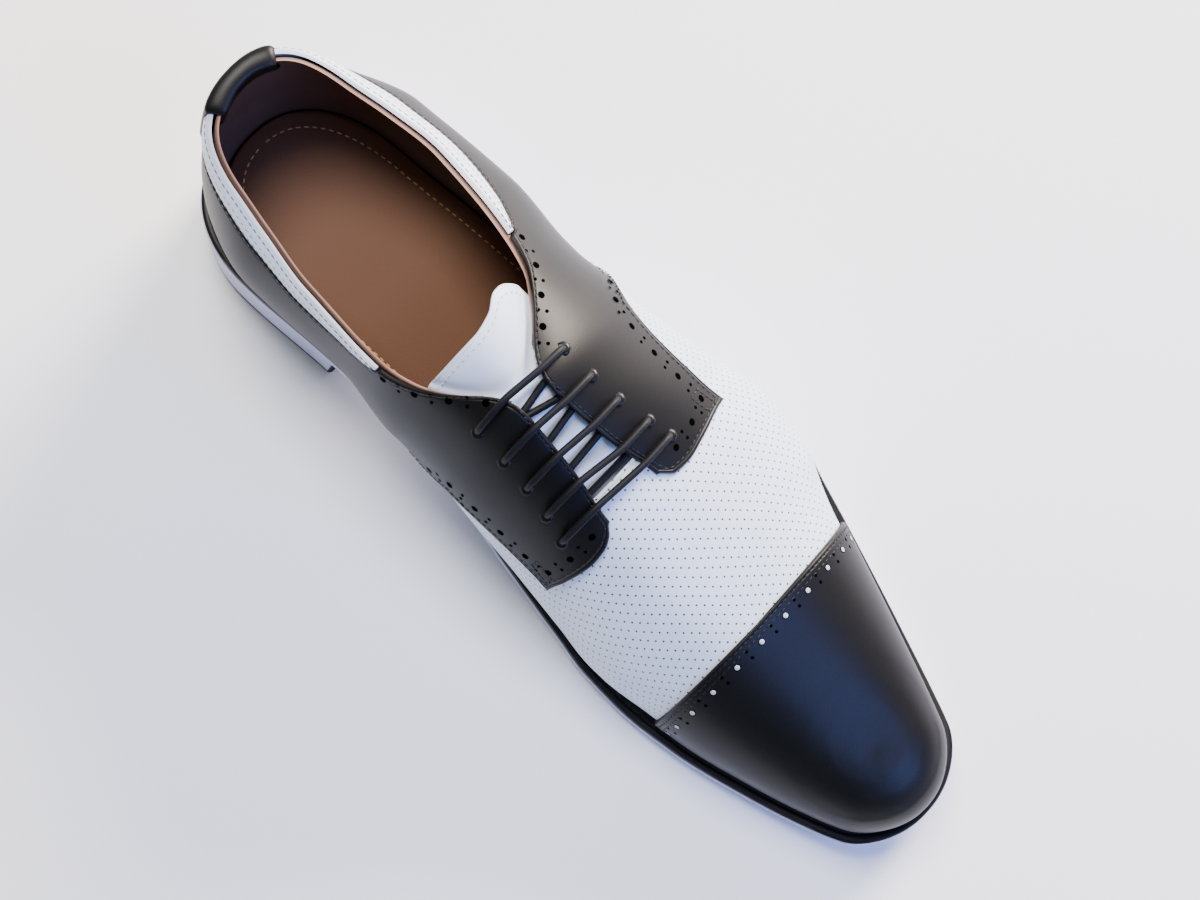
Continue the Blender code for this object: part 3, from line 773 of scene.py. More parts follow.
@dataclass
class ToeCap:
    """The black toe cap, one piece from side to side.

    Attributes:
        length: Its length along the ridge.
        crowding: How much its columns crowd together towards the toe.
        columns: Even columns.
        rows: Rows on each side of the ridge.
        smoothing: Reach round the crown and number of passes, for each round of smoothing.
    """
    length: float = 0.08
    crowding: float = 1.9
    columns: int = 60
    rows: int = 56
    smoothing: tuple[tuple[float, int], ...] = ((0.026, 25), (0.018, 40), (0.012, 50))

    def build(self) -> Piece:
        """Makes the cap, its straight seam at the back.

        Returns:
            The cap.
        """
        share = stops(0.0, 1.0, self.columns, True, False, self.length)
        up = np.linspace(0, 1, self.rows)
        v_line = np.concatenate([up, up[-2::-1]])
        side = np.concatenate([-np.ones(self.rows), np.ones(self.rows - 1)])
        start = CAP_SEAM_AT + CAP_SEAM_BOW * (1 - v_line)
        eased = 1 - (1 - share) ** self.crowding
        t = start[:, None] + (1 - start[:, None]) * eased[None, :]
        w = np.where(t > 1 - NEAR, 1.0, side[:, None] * t)
        v = np.repeat(v_line[:, None], len(share), axis=1)
        edge = (t - start[:, None]) * LENGTH
        cap = Panel("toe_cap_leather", w, v, edge).build()
        self.ease_crown(cap)
        return cap

    def ease_crown(self, cap: Piece) -> None:
        """Smooths the crown of the toe, where the panel's lines run together.

        Args:
            cap: The toe cap, changed in place.
        """
        shape = bmesh.new()
        shape.from_mesh(cap.data)
        crown = Vector(on_last(np.array(1.0), np.array(1.0), OVERLAY_OUT))
        for reach, passes in self.smoothing:
            near = [vert for vert in shape.verts if (vert.co - crown).length < reach]
            for _ in range(passes):
                bmesh.ops.smooth_vert(shape, verts=near, factor=0.5,
                                      use_axis_x=True, use_axis_y=True, use_axis_z=True)
        shape.to_mesh(cap.data)
        shape.free()


@dataclass
class Quarter:
    """One black side of the back with its facing.

    Attributes:
        side: The shoe's side that it is on.
        columns: Even columns in front of the band.
        rows: Even rows.
        gap: How far its upper edge lies under the band's lower one.
        wall: Length of the wall beside the band, which turns a distance into a share.
        throat_wall: Length of the wall beside the throat.
    """
    side: Side
    columns: int = 120
    rows: int = 46
    gap: float = 0.00025
    wall: float = 0.07
    throat_wall: float = 0.072

    def low(self, t: Array) -> Array:
        """Share of the wall at the lower edge: the foot, then the rising seam."""
        name = "low_lateral" if self.side is Side.LATERAL else "low_medial"
        return seam(name, t) * ease(QUARTER_FOOT_AT - 0.004, QUARTER_FOOT_AT + 0.02, t)

    def high(self, t: Array) -> Array:
        """Share of the wall at the upper edge: under the band, then collar and throat.

        Args:
            t: Shares of the length.

        Returns:
            The edge's share of the wall at each.
        """
        under = seam("high", t) - self.gap / self.wall
        over = ease(BAND_END_AT, BAND_END_AT + 0.004, t)
        top = np.where(t < COLLAR_FRONT_AT, 1.0, seam("high", t))
        return under * (1 - over) + top * over

    def bow(self, v: Array) -> Array:
        """How far the front edge bows forward of its corners."""
        return read(FACING_BOW, "lateral" if self.side is Side.LATERAL else "medial", v)

    def build(self) -> Piece:
        """Makes the quarter, from the heel seam to the facing's front edge.

        Returns:
            The quarter.
        """
        t = np.concatenate([heel_spread(HEEL_TURN, 30), np.linspace(PAST_TURN, BAND_END_AT, 40)[:-1],
                            np.linspace(BAND_END_AT, BAND_END_AT + 0.006, 6)[:-1],
                            stops(BAND_END_AT + 0.006, FACING_FRONT_AT, self.columns, False, True)])
        w = self.side.value * t
        v, edge = rows_between(w, self.low(t), self.high(t), self.rows)
        bow = self.bow(v) * ease(0.5, FACING_FRONT_AT, t)[None, :]
        edge = np.minimum(edge, ((FACING_FRONT_AT - t) * LENGTH)[None, :])
        name = "quarter_leather_" + self.side.name.lower()
        return Panel(name, self.side.value * (t[None, :] + bow), v, edge, eased=45).build()

    def edge_line(self, inset: float, start: float, end: float) -> Array:
        """A line along the collar, throat, front and lower edges, inset from them.

        Args:
            inset: Distance in from the cut edge, in metres.
            start: Share of the length where the line starts on the upper edge.
            end: Share of the length where it ends on the lower edge.

        Returns:
            Rows of w and v.
        """
        front = FACING_FRONT_AT - (inset + 0.0003) / LENGTH
        upper = np.linspace(start, front - 0.012, 160)
        lower = np.linspace(front - 0.003, end, 120)
        v_top = self.high(upper) - inset / self.throat_wall
        v_low = self.low(lower) + inset / self.throat_wall
        turn = np.linspace(v_top[-1] - 0.012, v_low[0] + 0.004, 60)
        t = np.concatenate([upper, front + 0 * turn, lower])
        v = np.concatenate([v_top, turn, v_low])
        t = t + self.bow(v) * ease(0.5, FACING_FRONT_AT, t)
        return np.stack([self.side.value * t, v], -1)


@dataclass
class Collar:
    """The padded white collar band and the black tab over it at the heel.

    Attributes:
        swell: How far the band's padding stands out.
        tab_top: How far the tab rises over the collar's edge.
        tab_outside: Share of the wall where the tab ends outside.
        tab_inside: Share of the wall where it ends inside.
        rows: Even rows of the band.
    """
    swell: float = 0.0007
    tab_top: float = 0.0016
    tab_outside: float = 0.68
    tab_inside: float = 0.88
    rows: int = 26

    def build_band(self) -> Piece:
        """Makes the band round the collar, a little padded between its seams.

        Returns:
            The collar band.
        """
        t = np.concatenate([heel_spread(HEEL_TURN, 26), stops(PAST_TURN, BAND_END_AT, 70, False, True)])
        w = np.concatenate([-t[:0:-1], [-1e-9], t[1:]])
        low = seam("high", np.abs(w)) + BAND_LIFT
        v, edge = rows_between(w, low, np.ones_like(w), self.rows)
        edge = np.minimum(edge, ((BAND_END_AT - np.abs(w)) * LENGTH)[None, :])
        share = (v - low) / (1 - low)
        fade = ease(0.0, 0.012, BAND_END_AT - np.abs(w))[None, :]
        outer = OVERLAY_OUT + self.swell * np.sin(np.pi * share) * fade
        return Panel("collar_band_leather", w, v, edge, outer).build()

    def build_tab(self) -> Piece:
        """Makes the heel tab, folded over the collar and down inside.

        Returns:
            The heel tab.
        """
        w = np.linspace(-TAB_AT, TAB_AT, 41)
        w = np.where(w == 0, -1e-9, w)
        outside, inside = OVERLAY_OUT + CLEARANCE, -CLEARANCE
        skins = []
        taper = 1 - 0.8 * (np.abs(w) / TAB_AT) ** 8
        for thickness, top in ((TAB_WALL, self.tab_top), (0.0, CLEARANCE)):
            wall, rise = thickness * taper, CLEARANCE + (top - CLEARANCE) * taper
            path = [on_last(w, v, outside + wall) for v in np.linspace(self.tab_outside, 1.0, 12)]
            middle, half = (outside + inside) / 2, (outside - inside) / 2 + wall
            for turn in np.linspace(0, math.pi, 12)[1:-1]:
                over = on_last(w, 1.0, middle + half * math.cos(turn))
                over[:, 2] += rise * math.sin(turn)
                path.append(over)
            path += [on_last(w, v, inside - wall) for v in np.linspace(1.0, self.tab_inside, 8)]
            skins.append(np.array(path))
        points, faces = closed_grid(*skins)
        flat = np.tile((0.0, 0.0, FAR_FROM_EDGE * MM), (len(points), 1))
        return add_mesh("heel_tab_leather", points, faces, flat)


@dataclass
class Tongue:
    """The white tongue, arched under the facings and out over the opening.

    Attributes:
        top: Share of the length about where its top lies.
        tip_round: How far its top corners are rounded, as a share of the length.
        rows: Even rows from its top to its foot.
        columns: Even columns across.
    """
    top: float = 0.35
    tip_round: float = 0.012
    rows: int = 60
    columns: int = 61

    def section(self, t: float, out: float) -> Array:
        """The instep's section from side to side, arched over the opening.

        Args:
            t: Share of the length.
            out: How far out the surface lies.

        Returns:
            Points from the medial side to the lateral one.
        """
        v = np.linspace(0.45, 1.0, 60)
        medial = last_point(-t, v, out)
        lateral = last_point(t, v, out)[::-1]
        if t >= THROAT_TOP_AT:
            return np.concatenate([medial, lateral])
        start, end = medial[-1] + (TONGUE_DROP, 0, 0), lateral[0] - (TONGUE_DROP, 0, 0)
        across = np.linspace(-1, 1, 41)
        half = max(0.0, 0.5 * (end[0] - start[0]))
        over = start + (end - start) * (1 + across[:, None]) / 2
        over[:, 2] += half * float(read(TONGUE_ARCH, "rise", t)) * (1 - across ** 2) ** 0.7
        if half == 0.0:
            over = 0.5 * (medial[-1] + lateral[0])[None]
        return np.concatenate([medial, over, lateral])

    def sheet(self, drop: float) -> Callable[[Array, Array], Array]:
        """The tongue's face at one depth.

        Args:
            drop: How deep under the face.

        Returns:
            A function that gives the points at shares of the length and at x.
        """
        t = np.linspace(0.33, TONGUE_FOOT_AT, 70)
        x = np.linspace(-0.045, 0.045, 181)
        tops = np.zeros((len(t), len(x), 2))
        for i, at in enumerate(t):
            line = self.section(float(at), -TONGUE_DROP - drop)
            tops[i] = np.stack([np.interp(x, line[:, 0], line[:, k]) for k in (1, 2)], -1)

        def face(t_at: Array, x_at: Array) -> Array:
            """Reads the table between its four nearest points.

            Args:
                t_at: Shares of the length.
                x_at: Places across.

            Returns:
                The face's points there.
            """
            i = np.clip((t_at - t[0]) / (t[1] - t[0]), 0, len(t) - 1.001)
            j = np.clip((x_at - x[0]) / (x[1] - x[0]), 0, len(x) - 1.001)
            a, b = i.astype(int), j.astype(int)
            p, q = (i - a)[..., None], (j - b)[..., None]
            yz = ((1 - p) * ((1 - q) * tops[a, b] + q * tops[a, b + 1])
                  + p * ((1 - q) * tops[a + 1, b] + q * tops[a + 1, b + 1]))
            return np.stack([x_at, yz[..., 0], yz[..., 1]], -1)
        return face

    def points(self, back: Array, across: Array, drop: Array) -> Array:
        """Points of the tongue's face.

        Args:
            back: Share of the way from its top to its foot.
            across: Share of its half width, positive on the lateral side.
            drop: How deep under the face each point lies.

        Returns:
            The points in the part's frame.
        """
        back, across = np.broadcast_arrays(back, across)
        corner = np.clip((np.abs(across) - 0.72) / 0.28, 0, 1)
        top = read(TONGUE_TOP, "along", across) + self.tip_round * corner ** 2
        t = top + (TONGUE_FOOT_AT - top) * back
        x = read(RIDGE, "centre", t) * BALL_WIDTH + across * TONGUE_HALF_WIDTH
        share = (drop / TONGUE_WALL)[..., None]
        return place(self.sheet(0.0)(t, x) * (1 - share) + self.sheet(TONGUE_WALL)(t, x) * share)

    def length(self) -> float:
        """Its length from top to foot."""
        return (TONGUE_FOOT_AT - self.top) * LENGTH

    def build(self) -> Piece:
        """Makes the tongue, with rolled edges at its top and sides.

        Returns:
            The tongue.
        """
        back = stops(0.0, 1.0, self.rows, True, False, self.length())[:, None]
        across = stops(-1.0, 1.0, self.columns, True, True, TONGUE_HALF_WIDTH)[None, :]
        down, aside = back * self.length(), across * TONGUE_HALF_WIDTH
        edge = np.minimum(down, TONGUE_HALF_WIDTH - np.abs(aside))
        face = self.points(back, across, rolled(edge))
        under = self.points(back, across, np.full(edge.shape, TONGUE_WALL))
        points, faces = closed_grid(face, under)
        flat = np.stack(np.broadcast_arrays(down, aside, edge), -1).reshape(-1, 3)
        return add_mesh("tongue_leather", points, faces, np.vstack([flat, flat]) * MM)


@dataclass
class Sole:
    """The bottom: outsole, heel, lift, welt and insole.

    A profile in its methods is a list of insets from the edge, with the height of each.

    Attributes:
        shares: Shares of the length where the plates have points.
        welt_reach: How much nearer the sole's edge the welt is drawn than its setback.
    """
    shares: Array = field(default_factory=lambda: np.concatenate([
        heel_spread(0.10, 30), np.linspace(0.104, 0.93, 150), 1 - heel_spread(0.066, 26)[::-1]]))
    welt_reach: float = 0.0009

    def strip(self, name: str, rows: list[tuple[Inset, Inset]], end: float = 1.0) -> Piece:
        """Makes a plate between the two side edges.

        Args:
            name: The piece's name.
            rows: Inset and height of each line round its edge, from underneath to the top.
            end: Share of the length where the plate ends.

        Returns:
            The closed piece.
        """
        shares = np.append(self.shares[self.shares < end - 1e-6], end)
        sides = []
        for side in (-1.0, 1.0):
            lines = []
            for inset_of, height_of in rows:
                x, y = plan(side * np.maximum(shares, 1e-12), inset_of)
                lines.append(np.stack([x, y, height_of(y / LENGTH) + 0 * y], -1))
            sides.append(lines)
        rings = place(np.array(sides[0] + sides[1][::-1]))
        count, cols = rings.shape[:2]
        faces = [(k * cols + i, k * cols + i + 1,
                  (k + 1) % count * cols + i + 1, (k + 1) % count * cols + i)
                 for k in range(count) for i in range(cols - 1)]
        if end < 1.0:
            last = cols - 1
            faces += [(k * cols + last, (k + 1) * cols + last,
                       (count - 2 - k) * cols + last, (count - 1 - k) * cols + last)
                      for k in range(len(rows) - 1)]
        return add_mesh(name, rings.reshape(-1, 3), faces, sharp=35)

    def build_outsole(self) -> Piece:
        """Makes the white outsole, its edges rounded, its seat raised inside the welt.

        Returns:
            The outsole.
        """
        island = WELT_SETBACK + WELT_STRIP + CLEARANCE
        profile = ((0.0011, 0.0), (0.0003, 0.0003), (0.0, 0.0010), (0.0, OUTSOLE - 0.0007),
                   (0.0002, OUTSOLE - 0.0002), (0.0007, OUTSOLE), (island, OUTSOLE), (island, SEAT))
        return self.strip("outsole_leather",
                          [(level(inset), raised(floor_line, rise)) for inset, rise in profile])

    def build_heel(self) -> list[Piece]:
        """Makes the white heel block and the black lift under it.

        Returns:
            The block and the lift.
        """
        block = ((-HEEL_FLARE, TOP_LIFT + CLEARANCE), (0.0002, 0.5 * (TOP_LIFT + HEEL_PITCH)),
                 (HEEL_FLARE, HEEL_PITCH - CLEARANCE))
        lift = ((0.0006, 0.0), (-0.0003, 0.0004), (-HEEL_FLARE, 0.0010),
                (-HEEL_FLARE, TOP_LIFT - 0.0003), (0.0003 - HEEL_FLARE, TOP_LIFT))
        return [self.strip(name, [(level(inset), level(height)) for inset, height in profile], BREAST_AT)
                for name, profile in (("heel_stack", block), ("heel_lift", lift))]

    def build_welt(self) -> Piece:
        """Makes the black welt, rounded at its edge, with a groove where its stitches lie.

        Returns:
            The welt.
        """
        w = np.concatenate([-self.shares[:0:-1], np.maximum(self.shares[:-1], 1e-12)])
        profile = [(0.0, 0.0009), (0.0001, 0.0018), (0.0005, WELT - 0.0001), (0.0009, WELT),
                   (0.0019, WELT), (0.0023, WELT - 0.0003), (0.0027, WELT), (0.0045, WELT),
                   (WELT_STRIP + self.welt_reach, WELT)]
        over, under = [], []
        for inset, rise in profile:
            x, y = plan(w, level(WELT_SETBACK - self.welt_reach + inset))
            over.append(np.stack([x, y, floor_line(y / LENGTH) + OUTSOLE + CLEARANCE + rise], -1))
            under.append(np.stack([x, y, floor_line(y / LENGTH) + OUTSOLE + CLOSE], -1))
        over, under = place(np.array(over)).swapaxes(0, 1), place(np.array(under)).swapaxes(0, 1)
        points, faces = closed_grid(over, under, ring=True)
        return add_mesh("welt_strip", points, faces, sharp=35)

    def welt_line(self, inset: float, start: float, end: float, side: Side) -> Array:
        """A line along the welt's top, from one share of the length to another."""
        x, y = plan(side.value * np.linspace(start, end, 700), level(WELT_SETBACK + inset))
        return place(np.stack([x, y, floor_line(y / LENGTH) + SEAT], -1))

    def build_insole(self) -> Piece:
        """Makes the sock over the insole, softly rounded down at its edge.

        Returns:
            The sock.
        """
        foot = raised(foot_inset(0.0), 2 * CLEARANCE)
        profile = ((0.0, 0.0), (0.0, INSOLE - 0.0012), (0.0005, INSOLE - 0.0004),
                   (0.0015, INSOLE), (0.0100, INSOLE))
        return self.strip("sock", [(raised(foot, inset), raised(foot_height, rise))
                                   for inset, rise in profile])

    def insole_line(self, inset: float, start: float, end: float, side: Side) -> Array:
        """A line on the sock, inset from its edge."""
        x, y = plan(side.value * np.linspace(start, end, 400), raised(foot_inset(0.0), inset))
        return place(np.stack([x, y, foot_height(y / LENGTH) + INSOLE], -1))


def tube(path: Array, radius: float, sides: int = 12) -> tuple[Array, Faces]:
    """A closed round cord along a path of points.

    Args:
        path: The path's points.
        radius: The cord's radius.
        sides: How many sides it has.

    Returns:
        Its points and faces.
    """
    way = np.gradient(path, axis=0)
    way = way / np.linalg.norm(way, axis=1, keepdims=True)
    across = np.cross(way, (0.0, 0.0, 1.0))
    across = across / np.linalg.norm(across, axis=1, keepdims=True)
    up = np.cross(across, way)
    turn = 2 * math.pi * np.arange(sides) / sides
    rings = (path[:, None] + radius * (np.cos(turn)[None, :, None] * across[:, None]
                                       + np.sin(turn)[None, :, None] * up[:, None]))
    count = len(path)
    faces = [(i * sides + k, i * sides + (k + 1) % sides,
              (i + 1) * sides + (k + 1) % sides, (i + 1) * sides + k)
             for i in range(count - 1) for k in range(sides)]
    faces.append(tuple(range(sides - 1, -1, -1)))
    faces.append(tuple((count - 1) * sides + k for k in range(sides)))
    return rings.reshape(-1, 3), faces


@dataclass
class Lacing:
    """The black round lace: five straight bars, and the runs that cross under them.

    Attributes:
        radius: The cord's radius as it is drawn.
        height: How far out its middle lies where it crosses a facing.
        crossings: For each run under the bars: the row it starts from, and how far towards
            the next row it lies at the medial and at the lateral facing.
    """
    radius: float = 0.00108
    height: float = OVERLAY_OUT + 2 * CLEARANCE + LACE / 2
    crossings: tuple[tuple[int, float, float], ...] = (
        (0, 0.50, 0.25), (1, 0.50, 0.25), (2, 0.50, 0.25), (3, 0.50, 0.25), (0, 0.62, 0.80))

    def facing(self, row: int, side: Side, out: float) -> Array:
        """The lace's way over one facing, from its eyelet up to the facing's edge.

        Args:
            row: The row of lacing, 0 at the top.
            side: The facing.
            out: How far out the points lie.

        Returns:
            Nine points in the part's frame.
        """
        name = side.name.lower()
        t = LACE_ROWS[name + "_along"][row]
        v = np.linspace(float(seam("high", t)), 0.4, 80)
        wall = last_point(side.value * t, v, out)
        return place(points_at(wall, np.linspace(LACE_ROWS[name + "_setback"][row], 0.0, 9)))

    def eyelets(self) -> Array:
        """Finds the ten eyelets.

        Returns:
            Rows of six numbers: each one's place and its outward direction.
        """
        rows = []
        for side in Side:
            for row in range(5):
                low = self.facing(row, side, OVERLAY_OUT)[0]
                way = self.facing(row, side, OVERLAY_OUT + 0.002)[0] - low
                rows.append(np.concatenate([low, way / np.linalg.norm(way)]))
        return np.array(rows)

    def bar(self, row: int) -> Array:
        """One bar, from inside one eyelet over both facings into the other.

        Args:
            row: The row of lacing.

        Returns:
            Its corners.
        """
        ends = []
        for side in Side:
            over = self.facing(row, side, self.height)
            deep = self.facing(row, side, OVERLAY_OUT - 0.0010)[:1]
            shoulder = self.facing(row, side, OVERLAY_OUT + 0.0009)[:1]
            ends.append(np.concatenate([deep, shoulder + 0.25 * (over[1:2] - over[:1]), over[1:]]))
        return np.concatenate([ends[0], ends[1][::-1]])

    def crossing(self, row: int, medial_share: float, lateral_share: float) -> Array:
        """A run from under one facing to under the other, between two bars.

        Args:
            row: The row of lacing that it starts from.
            medial_share: How far towards the next row it lies at the medial facing.
            lateral_share: The same at the lateral facing.

        Returns:
            Its corners.
        """
        ends = []
        for side, share in ((Side.MEDIAL, medial_share), (Side.LATERAL, lateral_share)):
            under = [self.facing(k, side, OVERLAY_IN - 0.0012)[[4, 8]] for k in (row, row + 1)]
            ends.append(under[0] * (1 - share) + under[1] * share)
        return np.concatenate([ends[0], ends[1][::-1]])

    def smooth(self, path: Array) -> Array:
        """Eases a path's corners as a cord's are.

        Args:
            path: The path's corners.

        Returns:
            Points close together along it.
        """
        fine = even(path, 0.0008)
        for _ in range(5):
            fine[1:-1] = 0.25 * fine[:-2] + 0.5 * fine[1:-1] + 0.25 * fine[2:]
        return fine

    def build(self) -> Piece:
        """Makes all the runs as one piece.

        Returns:
            The lace.
        """
        paths = [self.bar(k) for k in range(5)] + [self.crossing(*run) for run in self.crossings]
        points, faces = [], []
        for path in paths:
            some, round_faces = tube(self.smooth(path), self.radius)
            start = sum(len(p) for p in points)
            faces += [tuple(k + start for k in face) for face in round_faces]
            points.append(some)
        return add_mesh("lace_runs", np.concatenate(points), faces)


def add_node(tree: Tree, kind: str, settings: Optional[dict] = None,
             links: Optional[dict] = None) -> bpy.types.Node:
    """Adds a node with its settings and links.

    Args:
        tree: The node tree.
        kind: The node's type name.
        settings: Its properties, or the values of its input sockets.
        links: The socket that feeds each input.

    Returns:
        The new node.
    """
    node = tree.nodes.new(kind)
    for key, value in (settings or {}).items():
        if isinstance(key, str) and hasattr(node, key):
            setattr(node, key, value)
        else:
            node.inputs[key].default_value = value
    for key, socket in (links or {}).items():
        tree.links.new(socket, node.inputs[key])
    return node


@dataclass
class Punches:
    """Small repeated things set on a surface: stitches, holes and eyelet rings.

    Attributes:
        name: The finished piece's name.
        points: Where each one is.
        ways: The direction of its length.
        normals: The surface's outward direction there.
        size: Its length, width and height, in metres.
    """
    name: str
    points: Array
    ways: Array
    normals: Array
    size: tuple[float, float, float]

    def tree(self, dressed: bpy.types.Material) -> Tree:
        """Geometry Nodes that set one small rounded form at each point.

        Args:
            dressed: The form's material.

        Returns:
            The tree, whose input Size is the form's size.
        """
        tree = bpy.data.node_groups.new(self.name, "GeometryNodeTree")
        for label, end, kind in (("Geometry", "INPUT", "Geometry"), ("Size", "INPUT", "Vector"),
                                 ("Geometry", "OUTPUT", "Geometry")):
            tree.interface.new_socket(label, in_out=end, socket_type="NodeSocket" + kind)
        given = add_node(tree, "NodeGroupInput")
        form = add_node(tree, "GeometryNodeMeshUVSphere", {"Segments": 8, "Rings": 5, "Radius": 0.5})
        way, normal = (add_node(tree, "GeometryNodeInputNamedAttribute",
                                {"data_type": "FLOAT_VECTOR", "Name": label}) for label in ("way", "normal"))
        turn = add_node(tree, "FunctionNodeAlignRotationToVector", {"axis": "Z"},
                        {"Vector": normal.outputs["Attribute"]})
        turn = add_node(tree, "FunctionNodeAlignRotationToVector", {"axis": "X", "pivot_axis": "Z"},
                        {"Rotation": turn.outputs["Rotation"], "Vector": way.outputs["Attribute"]})
        set_on = add_node(tree, "GeometryNodeInstanceOnPoints", {}, {
            "Points": given.outputs["Geometry"], "Instance": form.outputs["Mesh"],
            "Rotation": turn.outputs["Rotation"], "Scale": given.outputs["Size"]})
        real = add_node(tree, "GeometryNodeRealizeInstances", {},
                        {"Geometry": set_on.outputs["Instances"]})
        smooth = add_node(tree, "GeometryNodeSetShadeSmooth", {}, {"Geometry": real.outputs["Geometry"]})
        skin = add_node(tree, "GeometryNodeSetMaterial", {"Material": dressed},
                        {"Geometry": smooth.outputs["Geometry"]})
        add_node(tree, "NodeGroupOutput", {}, {"Geometry": skin.outputs["Geometry"]})
        return tree

    def build(self, dressed: bpy.types.Material) -> Piece:
        """Makes the repeated form as one plain mesh.

        Args:
            dressed: The form's material.

        Returns:
            The piece.
        """
        seeds = bpy.data.meshes.new(self.name)
        seeds.from_pydata([tuple(p) for p in self.points], [], [])
        for label, values in (("way", self.ways), ("normal", self.normals)):
            data = seeds.attributes.new(label, "FLOAT_VECTOR", "POINT").data
            data.foreach_set("vector", values.astype(np.float32).ravel())
        carrier = bpy.data.objects.new(self.name, seeds)
        bpy.context.scene.collection.objects.link(carrier)
        setter = carrier.modifiers.new("set", "NODES")
        setter.node_group = self.tree(dressed)
        sockets = {item.name: item.identifier for item in setter.node_group.interface.items_tree
                   if item.in_out == "INPUT"}
        setter[sockets["Size"]] = self.size
        bpy.context.view_layer.update()
        shown = carrier.evaluated_get(bpy.context.evaluated_depsgraph_get())
        mesh = bpy.data.meshes.new_from_object(shown)
        bpy.data.objects.remove(carrier)
        piece = bpy.data.objects.new(self.name, mesh)
        bpy.context.scene.collection.objects.link(piece)
        return piece


def colour(code: str) -> tuple[float, float, float, float]:
    """An sRGB hex value as a linear colour."""
    parts = [int(code[k:k + 2], 16) / 255 for k in (1, 3, 5)]
    return (*[c / 12.92 if c <= 0.04045 else ((c + 0.055) / 1.055) ** 2.4 for c in parts], 1.0)


def started(name: str, roughness: float, ior: float,
            coat: float) -> tuple[bpy.types.Material, Tree, bpy.types.Node]:
    """Starts a material with the values that are the same all over it.

    Args:
        name: The material's name.
        roughness: Its roughness.
        ior: Its index of refraction.
        coat: How much clear finish lies on top.

    Returns:
        The material, its nodes and its shader.
    """
    made = bpy.data.materials.new(name)
    made.use_nodes = True
    tree = made.node_tree
    shader = tree.nodes["Principled BSDF"]
    for socket, value in (("Roughness", roughness), ("IOR", ior), ("Coat Weight", coat)):
        shader.inputs[socket].default_value = value
    return made, tree, shader


